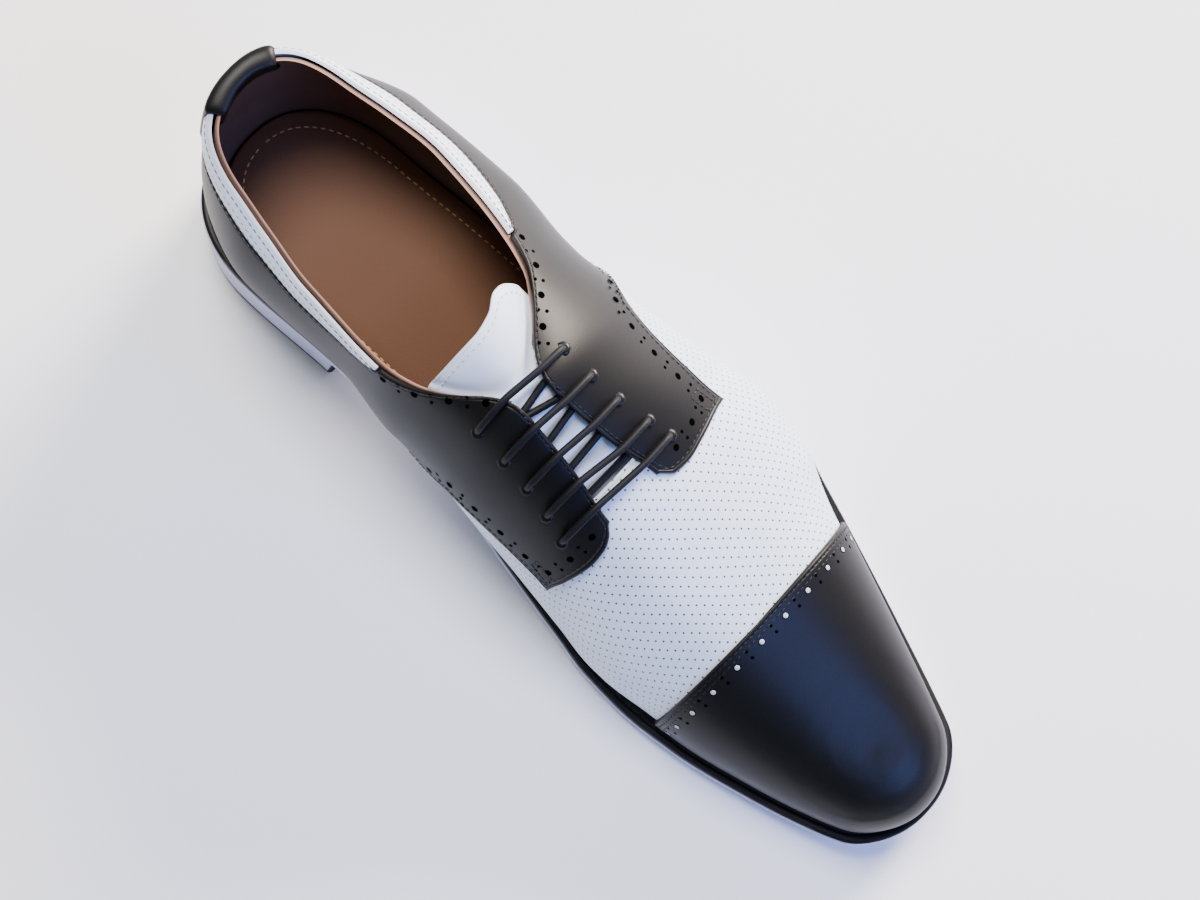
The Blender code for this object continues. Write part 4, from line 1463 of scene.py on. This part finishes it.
@dataclass(frozen=True)
class Leather:
    """Leather: slow clouds of the dye, a fine pebble grain, and a groove along its seams.

    Attributes:
        name: The material's name.
        face: Colour of the dyed face; on the white leathers it carries a painted blue shade.
        shade: Colour of its slow variation.
        cut: Colour of the cut edge, and where wrinkles are drawn, of the painted shade along their lines.
        grain: Width of a pebble of the grain in mm, drawn coarse enough to show.
        roughness: Roughness of the finish.
        relief: Height of the grain, in metres.
        coat: How much clear finish lies on top.
        pinholes: Whether the staggered pinholes are drawn.
        wrinkles: Whether fine wrinkles run over it, as on a glued sock, with painted shade along them.
        ior: Index of refraction of the finish.
    """
    name: str
    face: str
    shade: str
    cut: str
    grain: float = 0.9
    roughness: float = 0.4
    relief: float = 0.00003
    coat: float = 0.15
    pinholes: bool = False
    wrinkles: bool = False
    ior: float = 1.45

    def lattice(self, tree: Tree, flat: Socket, shift: tuple[float, float, float]) -> Socket:
        """Distance from the nearest hole of one of the two lattices of pinholes.

        Args:
            tree: The material's nodes.
            flat: The place on the flat pattern, turned to the rows of holes.
            shift: How far the lattice is moved, in mm.

        Returns:
            The distance in mm.
        """
        across, along = PINHOLE_PITCH
        moved = add_node(tree, "ShaderNodeVectorMath", {"operation": "ADD", 1: shift}, {0: flat})
        cells = add_node(tree, "ShaderNodeVectorMath", {"operation": "DIVIDE", 1: (across, along, 1.0)},
                         {0: moved.outputs[0]})
        part = add_node(tree, "ShaderNodeVectorMath", {"operation": "FRACTION"}, {0: cells.outputs[0]})
        middle = add_node(tree, "ShaderNodeVectorMath", {"operation": "SUBTRACT", 1: (0.5, 0.5, 0.5)},
                          {0: part.outputs[0]})
        real = add_node(tree, "ShaderNodeVectorMath", {"operation": "MULTIPLY", 1: (across, along, 0.0)},
                        {0: middle.outputs[0]})
        away = add_node(tree, "ShaderNodeVectorMath", {"operation": "LENGTH"}, {0: real.outputs[0]})
        return away.outputs["Value"]

    def punched(self, tree: Tree, flat: Socket, look: tuple[Socket, Socket]) -> tuple[Socket, Socket]:
        """Draws the pinholes, darkened as painted shade and sunk, as two lattices.

        Args:
            tree: The material's nodes.
            flat: The place on the flat pattern.
            look: The colour and the height so far.

        Returns:
            The colour and the height with the pinholes.
        """
        turned = add_node(tree, "ShaderNodeMapping", {"Rotation": (0, 0, math.radians(PINHOLE_TURN))},
                          {"Vector": flat}).outputs[0]
        near = add_node(tree, "ShaderNodeMath", {"operation": "MINIMUM"}, {
            0: self.lattice(tree, turned, (0, 0, 0)),
            1: self.lattice(tree, turned, (PINHOLE_PITCH[0] / 2, PINHOLE_PITCH[1] / 2, 0))})
        hole = add_node(tree, "ShaderNodeMapRange",
                        {"From Min": PINHOLE_RIM, "From Max": PINHOLE_FLOOR}, {"Value": near.outputs[0]})
        # painted shade: each pinhole is darkened towards a dark blue grey
        dark = add_node(tree, "ShaderNodeMix", {"data_type": "RGBA", 7: colour(PINHOLE_PAINTED_SHADE)},
                        {0: hole.outputs[0], 6: look[0]})
        sunk = add_node(tree, "ShaderNodeMath", {"operation": "MULTIPLY_ADD", 1: -PINHOLE_DEPTH},
                        {0: hole.outputs[0], 2: look[1]})
        return dark.outputs[2], sunk.outputs[0]

    def creased(self, tree: Tree, where: Socket, look: tuple[Socket, Socket]) -> tuple[Socket, Socket]:
        """Draws fine creases along the middle level of a slow noise, their lines darkened towards the cut
        colour as painted shade.

        Args:
            tree: The material's nodes.
            where: The place on the piece.
            look: The colour and the height so far.

        Returns:
            The colour and the height with the creases.
        """
        folds = add_node(tree, "ShaderNodeTexNoise", {"Scale": CREASES, "Detail": 7.0, "Distortion": 0.4},
                         {"Vector": where})
        level_off = add_node(tree, "ShaderNodeMath", {"operation": "SUBTRACT", 1: 0.5},
                             {0: folds.outputs["Fac"]})
        away = add_node(tree, "ShaderNodeMath", {"operation": "ABSOLUTE"}, {0: level_off.outputs[0]})
        line = add_node(tree, "ShaderNodeMapRange",
                        {"From Min": CREASE_WIDTH, "From Max": 0.0, "To Max": 0.4},
                        {"Value": away.outputs[0]})
        # painted shade: the crease lines are darkened towards the cut colour
        crease_shaded = add_node(tree, "ShaderNodeMix", {"data_type": "RGBA", 7: colour(self.cut)},
                        {0: line.outputs[0], 6: look[0]})
        pressed = add_node(tree, "ShaderNodeMath", {"operation": "MULTIPLY_ADD", 1: -CREASE_DEPTH},
                           {0: line.outputs[0], 2: look[1]})
        return crease_shaded.outputs[2], pressed.outputs[0]

    def make(self) -> bpy.types.Material:
        """Makes the leather's material.

        Returns:
            The material.
        """
        made, tree, shader = started(self.name, self.roughness, self.ior, self.coat)
        shader.inputs["Coat Roughness"].default_value = 0.25
        where = add_node(tree, "ShaderNodeTexCoord").outputs["Object"]
        slow = add_node(tree, "ShaderNodeTexNoise", {"Scale": CLOUDS, "Detail": 3.0}, {"Vector": where})
        pebble = add_node(tree, "ShaderNodeTexVoronoi",
                          {"feature": "DISTANCE_TO_EDGE", "Scale": MM / self.grain}, {"Vector": where})
        fine = add_node(tree, "ShaderNodeTexNoise", {"Scale": PORES, "Detail": 2.0}, {"Vector": where})
        tone = add_node(tree, "ShaderNodeMix",
                        {"data_type": "RGBA", 6: colour(self.face), 7: colour(self.shade)},
                        {0: slow.outputs["Fac"]})
        flat = add_node(tree, "ShaderNodeAttribute", {"attribute_name": "pattern"}).outputs["Vector"]
        split = add_node(tree, "ShaderNodeSeparateXYZ", {}, {0: flat})
        at_cut = add_node(tree, "ShaderNodeMapRange", {"From Min": 0.5, "From Max": 0.1},
                          {"Value": split.outputs["Z"]})
        edged = add_node(tree, "ShaderNodeMix", {"data_type": "RGBA", 7: colour(self.cut)},
                         {0: at_cut.outputs[0], 6: tone.outputs[2]})
        height = add_node(tree, "ShaderNodeMath", {"operation": "MULTIPLY_ADD", 1: 0.5},
                          {0: fine.outputs["Fac"], 2: pebble.outputs["Distance"]})
        beside = add_node(tree, "ShaderNodeMath", {"operation": "SUBTRACT", 1: SEAM_INSET_MM},
                          {0: split.outputs["Z"]})
        away = add_node(tree, "ShaderNodeMath", {"operation": "ABSOLUTE"}, {0: beside.outputs[0]})
        pulled = add_node(tree, "ShaderNodeMapRange",
                          {"From Min": 0.5, "From Max": 0.0, "To Max": -GROOVE_DEPTH,
                           "interpolation_type": "SMOOTHSTEP"}, {"Value": away.outputs[0]})
        height = add_node(tree, "ShaderNodeMath", {"operation": "ADD"},
                          {0: pulled.outputs[0], 1: height.outputs[0]})
        look = edged.outputs[2], height.outputs[0]
        if self.pinholes:
            look = self.punched(tree, flat, look)
        if self.wrinkles:
            look = self.creased(tree, where, look)
        relief = add_node(tree, "ShaderNodeBump", {"Distance": self.relief, "Strength": 1.0},
                          {"Height": look[1]})
        tree.links.new(look[0], shader.inputs["Base Color"])
        tree.links.new(relief.outputs[0], shader.inputs["Normal"])
        return made


@dataclass(frozen=True)
class Smooth:
    """A plain worked surface: stacked and painted edges, rubber, waxed cord, thread.

    Attributes:
        name: The material's name.
        face: Its colour.
        shade: Colour of its variation.
        scale: Size of the variation in mm, across and up.
        roughness: Its roughness.
        relief: Height of its texture, in metres.
        coat: How much clear finish lies on top.
        ior: Its index of refraction.
    """
    name: str
    face: str
    shade: str
    scale: tuple[float, float] = (2.0, 2.0)
    roughness: float = 0.5
    relief: float = 0.00002
    coat: float = 0.0
    ior: float = 1.45

    def make(self) -> bpy.types.Material:
        """Makes the surface's material.

        Returns:
            The material.
        """
        made, tree, shader = started(self.name, self.roughness, self.ior, self.coat)
        where = add_node(tree, "ShaderNodeTexCoord").outputs["Object"]
        across, up = MM / self.scale[0], MM / self.scale[1]
        sized = add_node(tree, "ShaderNodeMapping", {"Scale": (across, across, up)}, {"Vector": where})
        noise = add_node(tree, "ShaderNodeTexNoise", {"Scale": 1.0, "Detail": 4.0},
                         {"Vector": sized.outputs[0]})
        tone = add_node(tree, "ShaderNodeMix",
                        {"data_type": "RGBA", 6: colour(self.face), 7: colour(self.shade)},
                        {0: noise.outputs["Fac"]})
        relief = add_node(tree, "ShaderNodeBump", {"Distance": self.relief},
                          {"Height": noise.outputs["Fac"]})
        tree.links.new(tone.outputs[2], shader.inputs["Base Color"])
        tree.links.new(relief.outputs[0], shader.inputs["Normal"])
        return made


# How close the patterns are, per metre: clouds of the dye about 17 mm wide, pores 0.4 mm
# apart and creases of a glued sock about 40 mm long.
CLOUDS = 60.0
PORES = 2500.0
CREASES = 24.0
CREASE_WIDTH = 0.016

# Depths of a groove, a pinhole and a crease, as multiples of the grain's relief.
GROOVE_DEPTH = 5.0
PINHOLE_DEPTH = 4.0
CREASE_DEPTH = 1.5

# The vamp's pinholes, in mm on the flat pattern: two lattices of this pitch across and
# along, the second halfway between the first, both turned to the seam. A hole of about
# 0.6 mm darkens from its rim to its floor, a painted shade in the hole. The seam's
# groove runs this far from the edge.
PINHOLE_TURN = -45.0
PINHOLE_PITCH = (2.4, 5.6)
PINHOLE_RIM = 0.42
PINHOLE_FLOOR = 0.26
PINHOLE_PAINTED_SHADE = "#3c4657"
SEAM_INSET_MM = 1.3

# Grain of calf is about 0.2 mm wide: it is drawn at 0.7 to 1.4 mm, so that it shows.
# Drum dyed through and left without a top coat: deep black, with broad dull lights.
BLACK_CALF = Leather("black_calf_drum_dyed", "#040406", "#08080b", "#0d0a09", 0.7, 0.42,
                     0.00003, 0.0, ior=1.3)
# Pigment under a thin sprayed finish: white with a faint sheen, tinted cool blue as a painted blue shade.
WHITE_CALF = Leather("white_calf_with_painted_blue_shade", "#d6e0f0", "#c9d6ea", "#b9c0cc", 1.1, 0.42, 0.00002, 0.1)
# The same hide, with the same painted blue shade, punched with needles: fine dots in rows, dark as painted
# shade in the holes.
PERFORATED = Leather("white_calf_punched_with_painted_blue_shade", "#d9e4f3", "#ccdaee", "#b9c0cc", 1.1, 0.42, 0.00002, 0.1, True)
# Unfinished goat, vegetable tanned: matt brown, paler where it is cut.
LINING = Leather("brown_goat_lining", "#4d352a", "#614638", "#94705f", 1.2, 0.62, 0.00003, 0.0)
# Thin calf, glazed and glued down: warm tan, with the fine wrinkles that glueing leaves, their lines
# darkened as painted shade.
SOCK = Leather("tan_sock_glazed", "#875c34", "#9f6f42", "#5a371f", 1.4, 0.68, 0.00004, 0.0, False, True)
# Layers of leather board trimmed and painted: white, coloured a lavender grey as painted bluish shade, with
# faint level lines 0.7 mm apart.
SOLE_WHITE_PAINTED_SHADE = Smooth("white_sole_edge_with_painted_shade", "#bcc1df", "#aab1d6", (14.0, 0.7), 0.45, 0.00003, 0.1)
# Moulded rubber: flat black with a soft edge.
RUBBER = Smooth("black_rubber_moulded", "#0e0e12", "#17171c", (3.0, 3.0), 0.5, 0.00003)
# Leather inked and rubbed with a hot iron and wax: smooth black.
WELT_BLACK = Smooth("black_welt_burnished", "#07070a", "#0d0d12", (4.0, 2.0), 0.42, 0.00003, 0.0, 1.32)
# Cotton braided round a core and waxed, its plait 0.5 mm wide: a dark cord that breaks the light.
CORD = Smooth("black_waxed_cotton_braid", "#05060a", "#0c0f16", (0.5, 0.5), 0.55, 0.00006, ior=1.28)
# Twisted polyester, waxed: black stitches that just show on the black leather.
BLACK_THREAD = Smooth("black_waxed_thread", "#060608", "#121218", (0.3, 0.3), 0.45, ior=1.35)
# Dull dark thread: thin grey blue dashes on the white band.
NAVY_THREAD = Smooth("dark_thread_on_white", "#2e3442", "#4a5162", (0.3, 0.3), 0.5)
# Waxed white thread: dashes only a little darker than the white leather.
WHITE_THREAD = Smooth("white_waxed_thread", "#aab4c6", "#c3ccda", (0.3, 0.3), 0.5)
# Matt tan thread: pale dashes round the sock.
TAN_THREAD = Smooth("tan_sock_thread", "#c79a68", "#a87c4e", (0.3, 0.3), 0.6)
# The inside of a punched hole: black, with almost no light back from it.
PUNCHED = Smooth("punched_hole_shadow", "#010101", "#020203", (0.5, 0.5), 0.9, ior=1.05)
# White leather seen through the toe cap's larger holes: pale dots, greyed as painted shade at the bottom of
# each hole.
WHITE_BACKING = Smooth("white_backing_in_holes", "#b8bdc9", "#a8aebc", (0.5, 0.5), 0.6)
# Leather pressed over a hidden metal ring: a small shiny black lip.
EYELET = Smooth("blind_eyelet_lip", "#030305", "#08080c", (1.0, 1.0), 0.32, 0.00001, 0.0, 1.35)
# Painted board: a pale floor with no pattern to see.
FLOOR = Smooth("pale_studio_floor", "#f7f8fa", "#f3f5f8", (300.0, 300.0), 0.75, 0.00001)


def material_of(finish: Leather | Smooth) -> bpy.types.Material:
    """A finish's material, made the first time that it is used."""
    return bpy.data.materials.get(finish.name) or finish.make()


def dress(piece: Piece, finish: Leather | Smooth) -> Piece:
    """Gives a piece its one material.

    Args:
        piece: The piece.
        finish: Its finish.

    Returns:
        The same piece.
    """
    piece.data.materials.clear()
    piece.data.materials.append(material_of(finish))
    return piece


def along_wall(path: Array, out: float, spacing: float) -> Places:
    """Even places along a line on the last.

    Args:
        path: Rows of w and v.
        out: How far out the surface lies.
        spacing: Distance between places, in metres.

    Returns:
        The places, the line's direction and the surface's outward direction at each.
    """
    run = lengths(on_last(path[:, 0], path[:, 1], out))
    at = paces(run[-1], spacing)
    w, v = np.interp(at, run, path[:, 0]), np.interp(at, run, path[:, 1])
    points = on_last(w, v, out)
    return points, np.gradient(points, axis=0), wall_normal(w, v, out)


def joined(*rows: Places) -> Places:
    """Several lines of places as one."""
    return tuple(np.concatenate([row[k] for row in rows]) for k in range(3))


def facing_up(points: Array, up: tuple[float, float, float] = (0.0, 0.0, 1.0)) -> Places:
    """Places along a line on a surface that faces one way all along."""
    return points, np.gradient(points, axis=0), np.tile(up, (len(points), 1))


@dataclass
class Stitching:
    """Every row of stitches and every punched hole, each kind as one piece.

    Attributes:
        spacing: From one stitch to the next.
        tack_spacing: The same in the bar tacks.
        tack_rise: Share of the wall from the seam to a tack, and of the tack's own height.
        under_band: Share of the wall from the band's seam down to the row under it.
        edge_inset: From the quarters' edges to their stitches.
        cap_insets: From the toe cap's seam to its two rows.
        brogue_inset: From an edge to the line of the broguing.
        brogue_spacing: From one large hole to the next.
        brogue_pair: From that line to each of a pair of small holes.
        plain_throat: Shares of the length and the wall past which the eyelets stand instead.
        welt_inset: From the welt's setback to its stitches, and their spacing.
        sock_inset: From the sock's edge to its stitches, and their spacing.
    """
    spacing: float = 0.0022
    tack_spacing: float = 0.0018
    tack_rise: float = 0.045
    under_band: float = 0.022
    edge_inset: float = 0.0016
    cap_insets: tuple[float, float] = (0.0014, 0.0030)
    brogue_inset: float = 0.0048
    brogue_spacing: float = 0.0105
    brogue_pair: float = 0.0013
    plain_throat: tuple[float, float] = (0.402, 0.78)
    welt_inset: tuple[float, float] = (0.0023, 0.0036)
    sock_inset: tuple[float, float] = (0.0055, 0.0026)

    def black_rows(self, quarters: list[Quarter]) -> Places:
        """Rows along the quarters' edges and the toe cap's seam.

        Args:
            quarters: The two quarters.

        Returns:
            The stitches' places.
        """
        lines = [quarter.edge_line(self.edge_inset, 0.31, 0.36) for quarter in quarters]
        for side in Side:
            v = np.linspace(0.06, 1.0, 200)
            for inset in self.cap_insets:
                t = CAP_SEAM_AT + CAP_SEAM_BOW * (1 - v) + inset / LENGTH
                lines.append(np.stack([side.value * t, v], -1))
            t = np.linspace(0.0005, 0.30, 300)
            lines.append(np.stack([side.value * t, seam("high", t) - self.under_band], -1))
        rows = [along_wall(line, OVERLAY_OUT, self.spacing) for line in lines]
        rows += [along_wall(self.bar_tack(quarter), OVERLAY_OUT, self.tack_spacing) for quarter in quarters]
        return joined(*rows)

    def bar_tack(self, quarter: Quarter) -> Array:
        """A small stitched box in the facing's lower front corner.

        Args:
            quarter: The quarter that it is on.

        Returns:
            Rows of w and v.
        """
        low = float(quarter.low(np.array(0.548))) + self.tack_rise
        high = low + self.tack_rise
        share, corners = np.linspace(0, 4, 80), np.arange(5)
        t = np.interp(share, corners, (0.534, 0.556, 0.556, 0.534, 0.534))
        return np.stack([quarter.side.value * t, np.interp(share, corners, (low, low, high, high, low))], -1)

    def band_rows(self) -> Places:
        """Three dark rows along the white collar band.

        Returns:
            The stitches' places.
        """
        rows = []
        t = np.linspace(0.02, 0.301, 300)
        for side in Side:
            for share, lift in ((0.16, 0.0003), (0.52, 0.0006), (0.86, 0.0003)):
                low = seam("high", t) + BAND_LIFT
                line = np.stack([side.value * t, low + (1 - low) * share], -1)
                rows.append(along_wall(line, OVERLAY_OUT + lift, self.spacing))
        return joined(*rows)

    def brogue_lines(self, quarters: list[Quarter]) -> list[Array]:
        """The lines that the broguing follows: the toe cap's and the quarters' edges.

        Args:
            quarters: The two quarters.

        Returns:
            Rows of w and v for each line, the toe cap's first.
        """
        lines = []
        v = np.concatenate([np.linspace(0.12, 1.0, 160), np.linspace(1.0, 0.12, 160)[1:]])
        side = np.concatenate([-np.ones(160), np.ones(159)])
        t = CAP_SEAM_AT + CAP_SEAM_BOW * (1 - v) + self.brogue_inset / LENGTH
        lines.append(np.stack([side * t, v], -1))
        for quarter in quarters:
            line = quarter.edge_line(self.brogue_inset, 0.315, 0.37)
            along, up = np.abs(line[:, 0]), line[:, 1]
            split = np.flatnonzero((along > self.plain_throat[0]) & (up > self.plain_throat[1]))
            lines += [line[:split[0]], line[split[-1] + 1:]]
        return lines

    def brogue(self, quarters: list[Quarter]) -> tuple[Places, Places, Places]:
        """The punched holes.

        Args:
            quarters: The two quarters.

        Returns:
            The larger holes, the pairs of tiny ones between them, and the cap's larger ones.
        """
        large, small = [], []
        for line in self.brogue_lines(quarters):
            points, ways, normals = along_wall(line, OVERLAY_OUT + HAIR, self.brogue_spacing / 2)
            large.append((points[::2], ways[::2], normals[::2]))
            across = np.cross(ways[1::2], normals[1::2])
            across /= np.linalg.norm(across, axis=1, keepdims=True)
            for shift in (-self.brogue_pair, self.brogue_pair):
                small.append((points[1::2] + shift * across, ways[1::2], normals[1::2]))
        return joined(*large), joined(*small), large[0]

    def welt_row(self, sole: Sole) -> Places:
        """The coarse row that holds the welt to the sole."""
        inset, spacing = self.welt_inset
        return joined(*(facing_up(even(sole.welt_line(inset, 0.0001, 0.9999, side), spacing))
                        for side in Side))

    def sock_rows(self, sole: Sole) -> Places:
        """The sock's row, round the heel and along the waist."""
        inset, spacing = self.sock_inset
        return joined(*(facing_up(even(sole.insole_line(inset, 0.0003, 0.42, side), spacing))
                        for side in Side))

    def tongue_row(self, tongue: Tongue) -> Places:
        """The fine row inside the tongue's top edge.

        Args:
            tongue: The tongue.

        Returns:
            The stitches' places.
        """
        across = np.linspace(-0.9, 0.9, 60)
        back = 0.0026 / tongue.length() + 0.05 * np.abs(across) ** 8
        points = tongue.points(back, across, np.zeros(len(across)))
        return facing_up(even(points, self.spacing), (0.0, 0.15, 0.99))


@dataclass(frozen=True)
class View:
    """The camera's place and turn as the photograph has them, in the part's frame.

    Attributes:
        height: Height above the floor.
        tilt: How far it leans back from looking straight down, in degrees.
        roll: How far it leans to the side.
        turn: How far the shoe is turned under it.
        stand: The shoe's place under it, in the turned frame.
        shift: A last correction of that place, in the part's frame.
        lens: Focal length in mm.
        look_at: Height of the point on the shoe that it looks at.
    """
    height: float = 0.6415
    tilt: float = -4.3515
    roll: float = -0.2492
    turn: float = 46.5203
    stand: tuple[float, float] = (0.045254, 0.073713)
    shift: tuple[float, float] = (-0.004983, 0.0027)
    lens: float = 60.0
    look_at: float = 0.035

    def axes(self) -> Matrix:
        """Turns the camera as the photograph's was.

        Returns:
            Its axes as columns, in the part's frame.
        """
        tilt = Matrix.Rotation(math.radians(self.tilt), 3, "X")
        roll = Matrix.Rotation(math.radians(self.roll), 3, "Y")
        rows = tilt @ roll @ Matrix(((1, 0, 0), (0, -1, 0), (0, 0, -1)))
        back = Matrix.Rotation(math.radians(-self.turn), 3, "Z")
        return Matrix((back @ rows[0], back @ -rows[1], back @ -rows[2])).transposed()

    def eye(self) -> Vector:
        """Places the camera.

        Returns:
            Where it stands, in the part's frame.
        """
        back = Matrix.Rotation(math.radians(-self.turn), 3, "Z")
        at = back @ Vector((-self.stand[0], -self.stand[1], self.height))
        return at + Vector((*self.shift, 0.0))

    def aim(self) -> None:
        """Makes the camera, turned to the shoe's middle and keeping the photograph's upright."""
        low, high = CAD_BOX
        middle = (Vector(low) + Vector(high)) / 2
        middle.z = self.look_at
        eye, up = self.eye(), self.axes().col[1]
        back = (eye - middle).normalized()
        right = up.cross(back).normalized()
        top = back.cross(right)
        data = bpy.data.cameras.new("camera")
        data.lens, data.sensor_width = self.lens, 36.0
        data.clip_start = 0.01
        camera = bpy.data.objects.new("camera", data)
        camera.matrix_world = Matrix.Translation(eye) @ Matrix((right, top, back)).transposed().to_4x4()
        bpy.context.scene.collection.objects.link(camera)
        bpy.context.scene.camera = camera


@dataclass(frozen=True)
class Lamp:
    """A soft round area light turned to the shoe.

    Attributes:
        name: Its name.
        at: Where it hangs, in metres.
        size: Its width.
        power: Its power in watts.
        tint: Its colour.
    """
    name: str
    at: tuple[float, float, float]
    size: float
    power: float
    tint: str

    def hang(self) -> None:
        """Adds the light."""
        data = bpy.data.lights.new(self.name, "AREA")
        data.shape, data.size, data.energy = "DISK", self.size, self.power
        data.color = colour(self.tint)[:3]
        light = bpy.data.objects.new(self.name, data)
        light.location = self.at
        light.rotation_euler = Vector(self.at).to_track_quat("Z", "Y").to_euler()
        bpy.context.scene.collection.objects.link(light)


@dataclass
class Studio:
    """A pale floor, broad soft lights and an even sky.

    Attributes:
        reach: Half the floor's width.
        sky: The sky's colour.
        sky_strength: Its strength.
        lamps: The lights, of which the front one gives the black leather its blue cast.
    """
    reach: float = 4.0
    sky: str = "#f4f6ff"
    sky_strength: float = 0.36
    lamps: tuple[Lamp, ...] = (
        Lamp("side", (1.45, 0.2, 0.6), 0.7, 105.0, "#fff0e2"),
        Lamp("front", (0.25, -1.0, 1.0), 0.8, 19.0, "#7a9cff"),
        Lamp("top", (0.3, 0.6, 1.4), 0.7, 38.0, "#fff8f0"))

    def build(self) -> None:
        """Lays the floor and hangs the sky and the lights."""
        corners = np.array([(-1, -1, 0), (1, -1, 0), (1, 1, 0), (-1, 1, 0)], float) * self.reach
        floor = dress(add_mesh("floor", corners, [(0, 1, 2, 3)]), FLOOR)
        world = bpy.data.worlds.new("studio")
        world.use_nodes = True
        background = world.node_tree.nodes["Background"].inputs
        background["Color"].default_value = colour(self.sky)
        background["Strength"].default_value = self.sky_strength
        bpy.context.scene.world = world
        for lamp in self.lamps:
            lamp.hang()


def ride(piece: Piece, slot: str, *nodes: str) -> None:
    """Ties a piece to the shoe and reports it.

    Args:
        piece: The piece.
        slot: The name of its slot.
        nodes: The solids that it stands for.
    """
    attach(piece, "root")
    if nodes:
        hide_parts(*nodes)
    LOG.info("%s: %d faces, %s", piece.name, len(piece.data.polygons), slot)


def main() -> None:
    """Builds and dresses the shoe."""
    logging.basicConfig(level=logging.INFO, format="%(message)s")
    View().aim()
    Studio().build()
    sole, vamp, collar, tongue = Sole(), Vamp(), Collar(), Tongue()
    quarters = [Quarter(side) for side in Side]
    lacing, sewing = Lacing(), Stitching()
    ride(dress(sole.build_outsole(), SOLE_WHITE_PAINTED_SHADE), "white_sole_edge", "outsole")
    block, lift = sole.build_heel()
    ride(dress(block, SOLE_WHITE_PAINTED_SHADE), "white_sole_edge", "heel_block")
    ride(dress(lift, RUBBER), "black_rubber", "top_lift")
    ride(dress(sole.build_welt(), WELT_BLACK), "black_rubber", "welt")
    ride(dress(sole.build_insole(), SOCK), "tan_sock", "insole")
    ride(dress(vamp.build_vamp(), PERFORATED), "white_calf", "upper")
    ride(dress(vamp.build_lining(), LINING), "tan_sock")
    ride(dress(ToeCap().build(), BLACK_CALF), "black_calf", "toe_cap")
    for quarter in quarters:
        ride(dress(quarter.build(), BLACK_CALF), "black_calf", "quarter_" + quarter.side.name.lower())
    ride(dress(collar.build_band(), WHITE_CALF), "white_calf", "collar_band")
    ride(dress(collar.build_tab(), BLACK_CALF), "black_calf", "heel_tab")
    ride(dress(tongue.build(), WHITE_CALF), "white_calf", "tongue")
    ride(dress(lacing.build(), CORD), "black_cord", "lace")
    large, small, caps = sewing.brogue(quarters)
    backing = (caps[0] + CLOSE * caps[2], *caps[1:])
    eyes = lacing.eyelets()
    eyelets = (eyes[:, :3], np.tile((0.0, 1.0, 0.0), (len(eyes), 1)), eyes[:, 3:])
    # Each row: the piece, its places, the form's length, width and height, finish and slot.
    rows = (
        ("stitches_black", sewing.black_rows(quarters), (0.0017, 0.00045, 0.0004), BLACK_THREAD,
         "black_calf"),
        ("stitches_collar", sewing.band_rows(), (0.0016, 0.0004, 0.0003), NAVY_THREAD, "white_calf"),
        ("stitches_welt", sewing.welt_row(sole), (0.0030, 0.0009, 0.0007), BLACK_THREAD, "black_rubber"),
        ("stitches_sock", sewing.sock_rows(sole), (0.0019, 0.0005, 0.0003), TAN_THREAD, "tan_sock"),
        ("stitches_tongue", sewing.tongue_row(tongue), (0.0016, 0.0004, 0.0003), WHITE_THREAD, "white_calf"),
        ("brogue_large", large, (0.0025, 0.0023, 0.00016), PUNCHED, "black_calf"),
        ("brogue_cap_backing", backing, (0.0018, 0.0018, 0.0003), WHITE_BACKING, "white_calf"),
        ("brogue_small", small, (0.0012, 0.0012, 0.00012), PUNCHED, "black_calf"),
        ("eyelets", eyelets, (0.0046, 0.0046, 0.0008), EYELET, "black_calf"))
    for name, places, size, finish, slot in rows:
        ride(Punches(name, *places, size).build(material_of(finish)), slot)


if __name__ == "__main__":
    main()
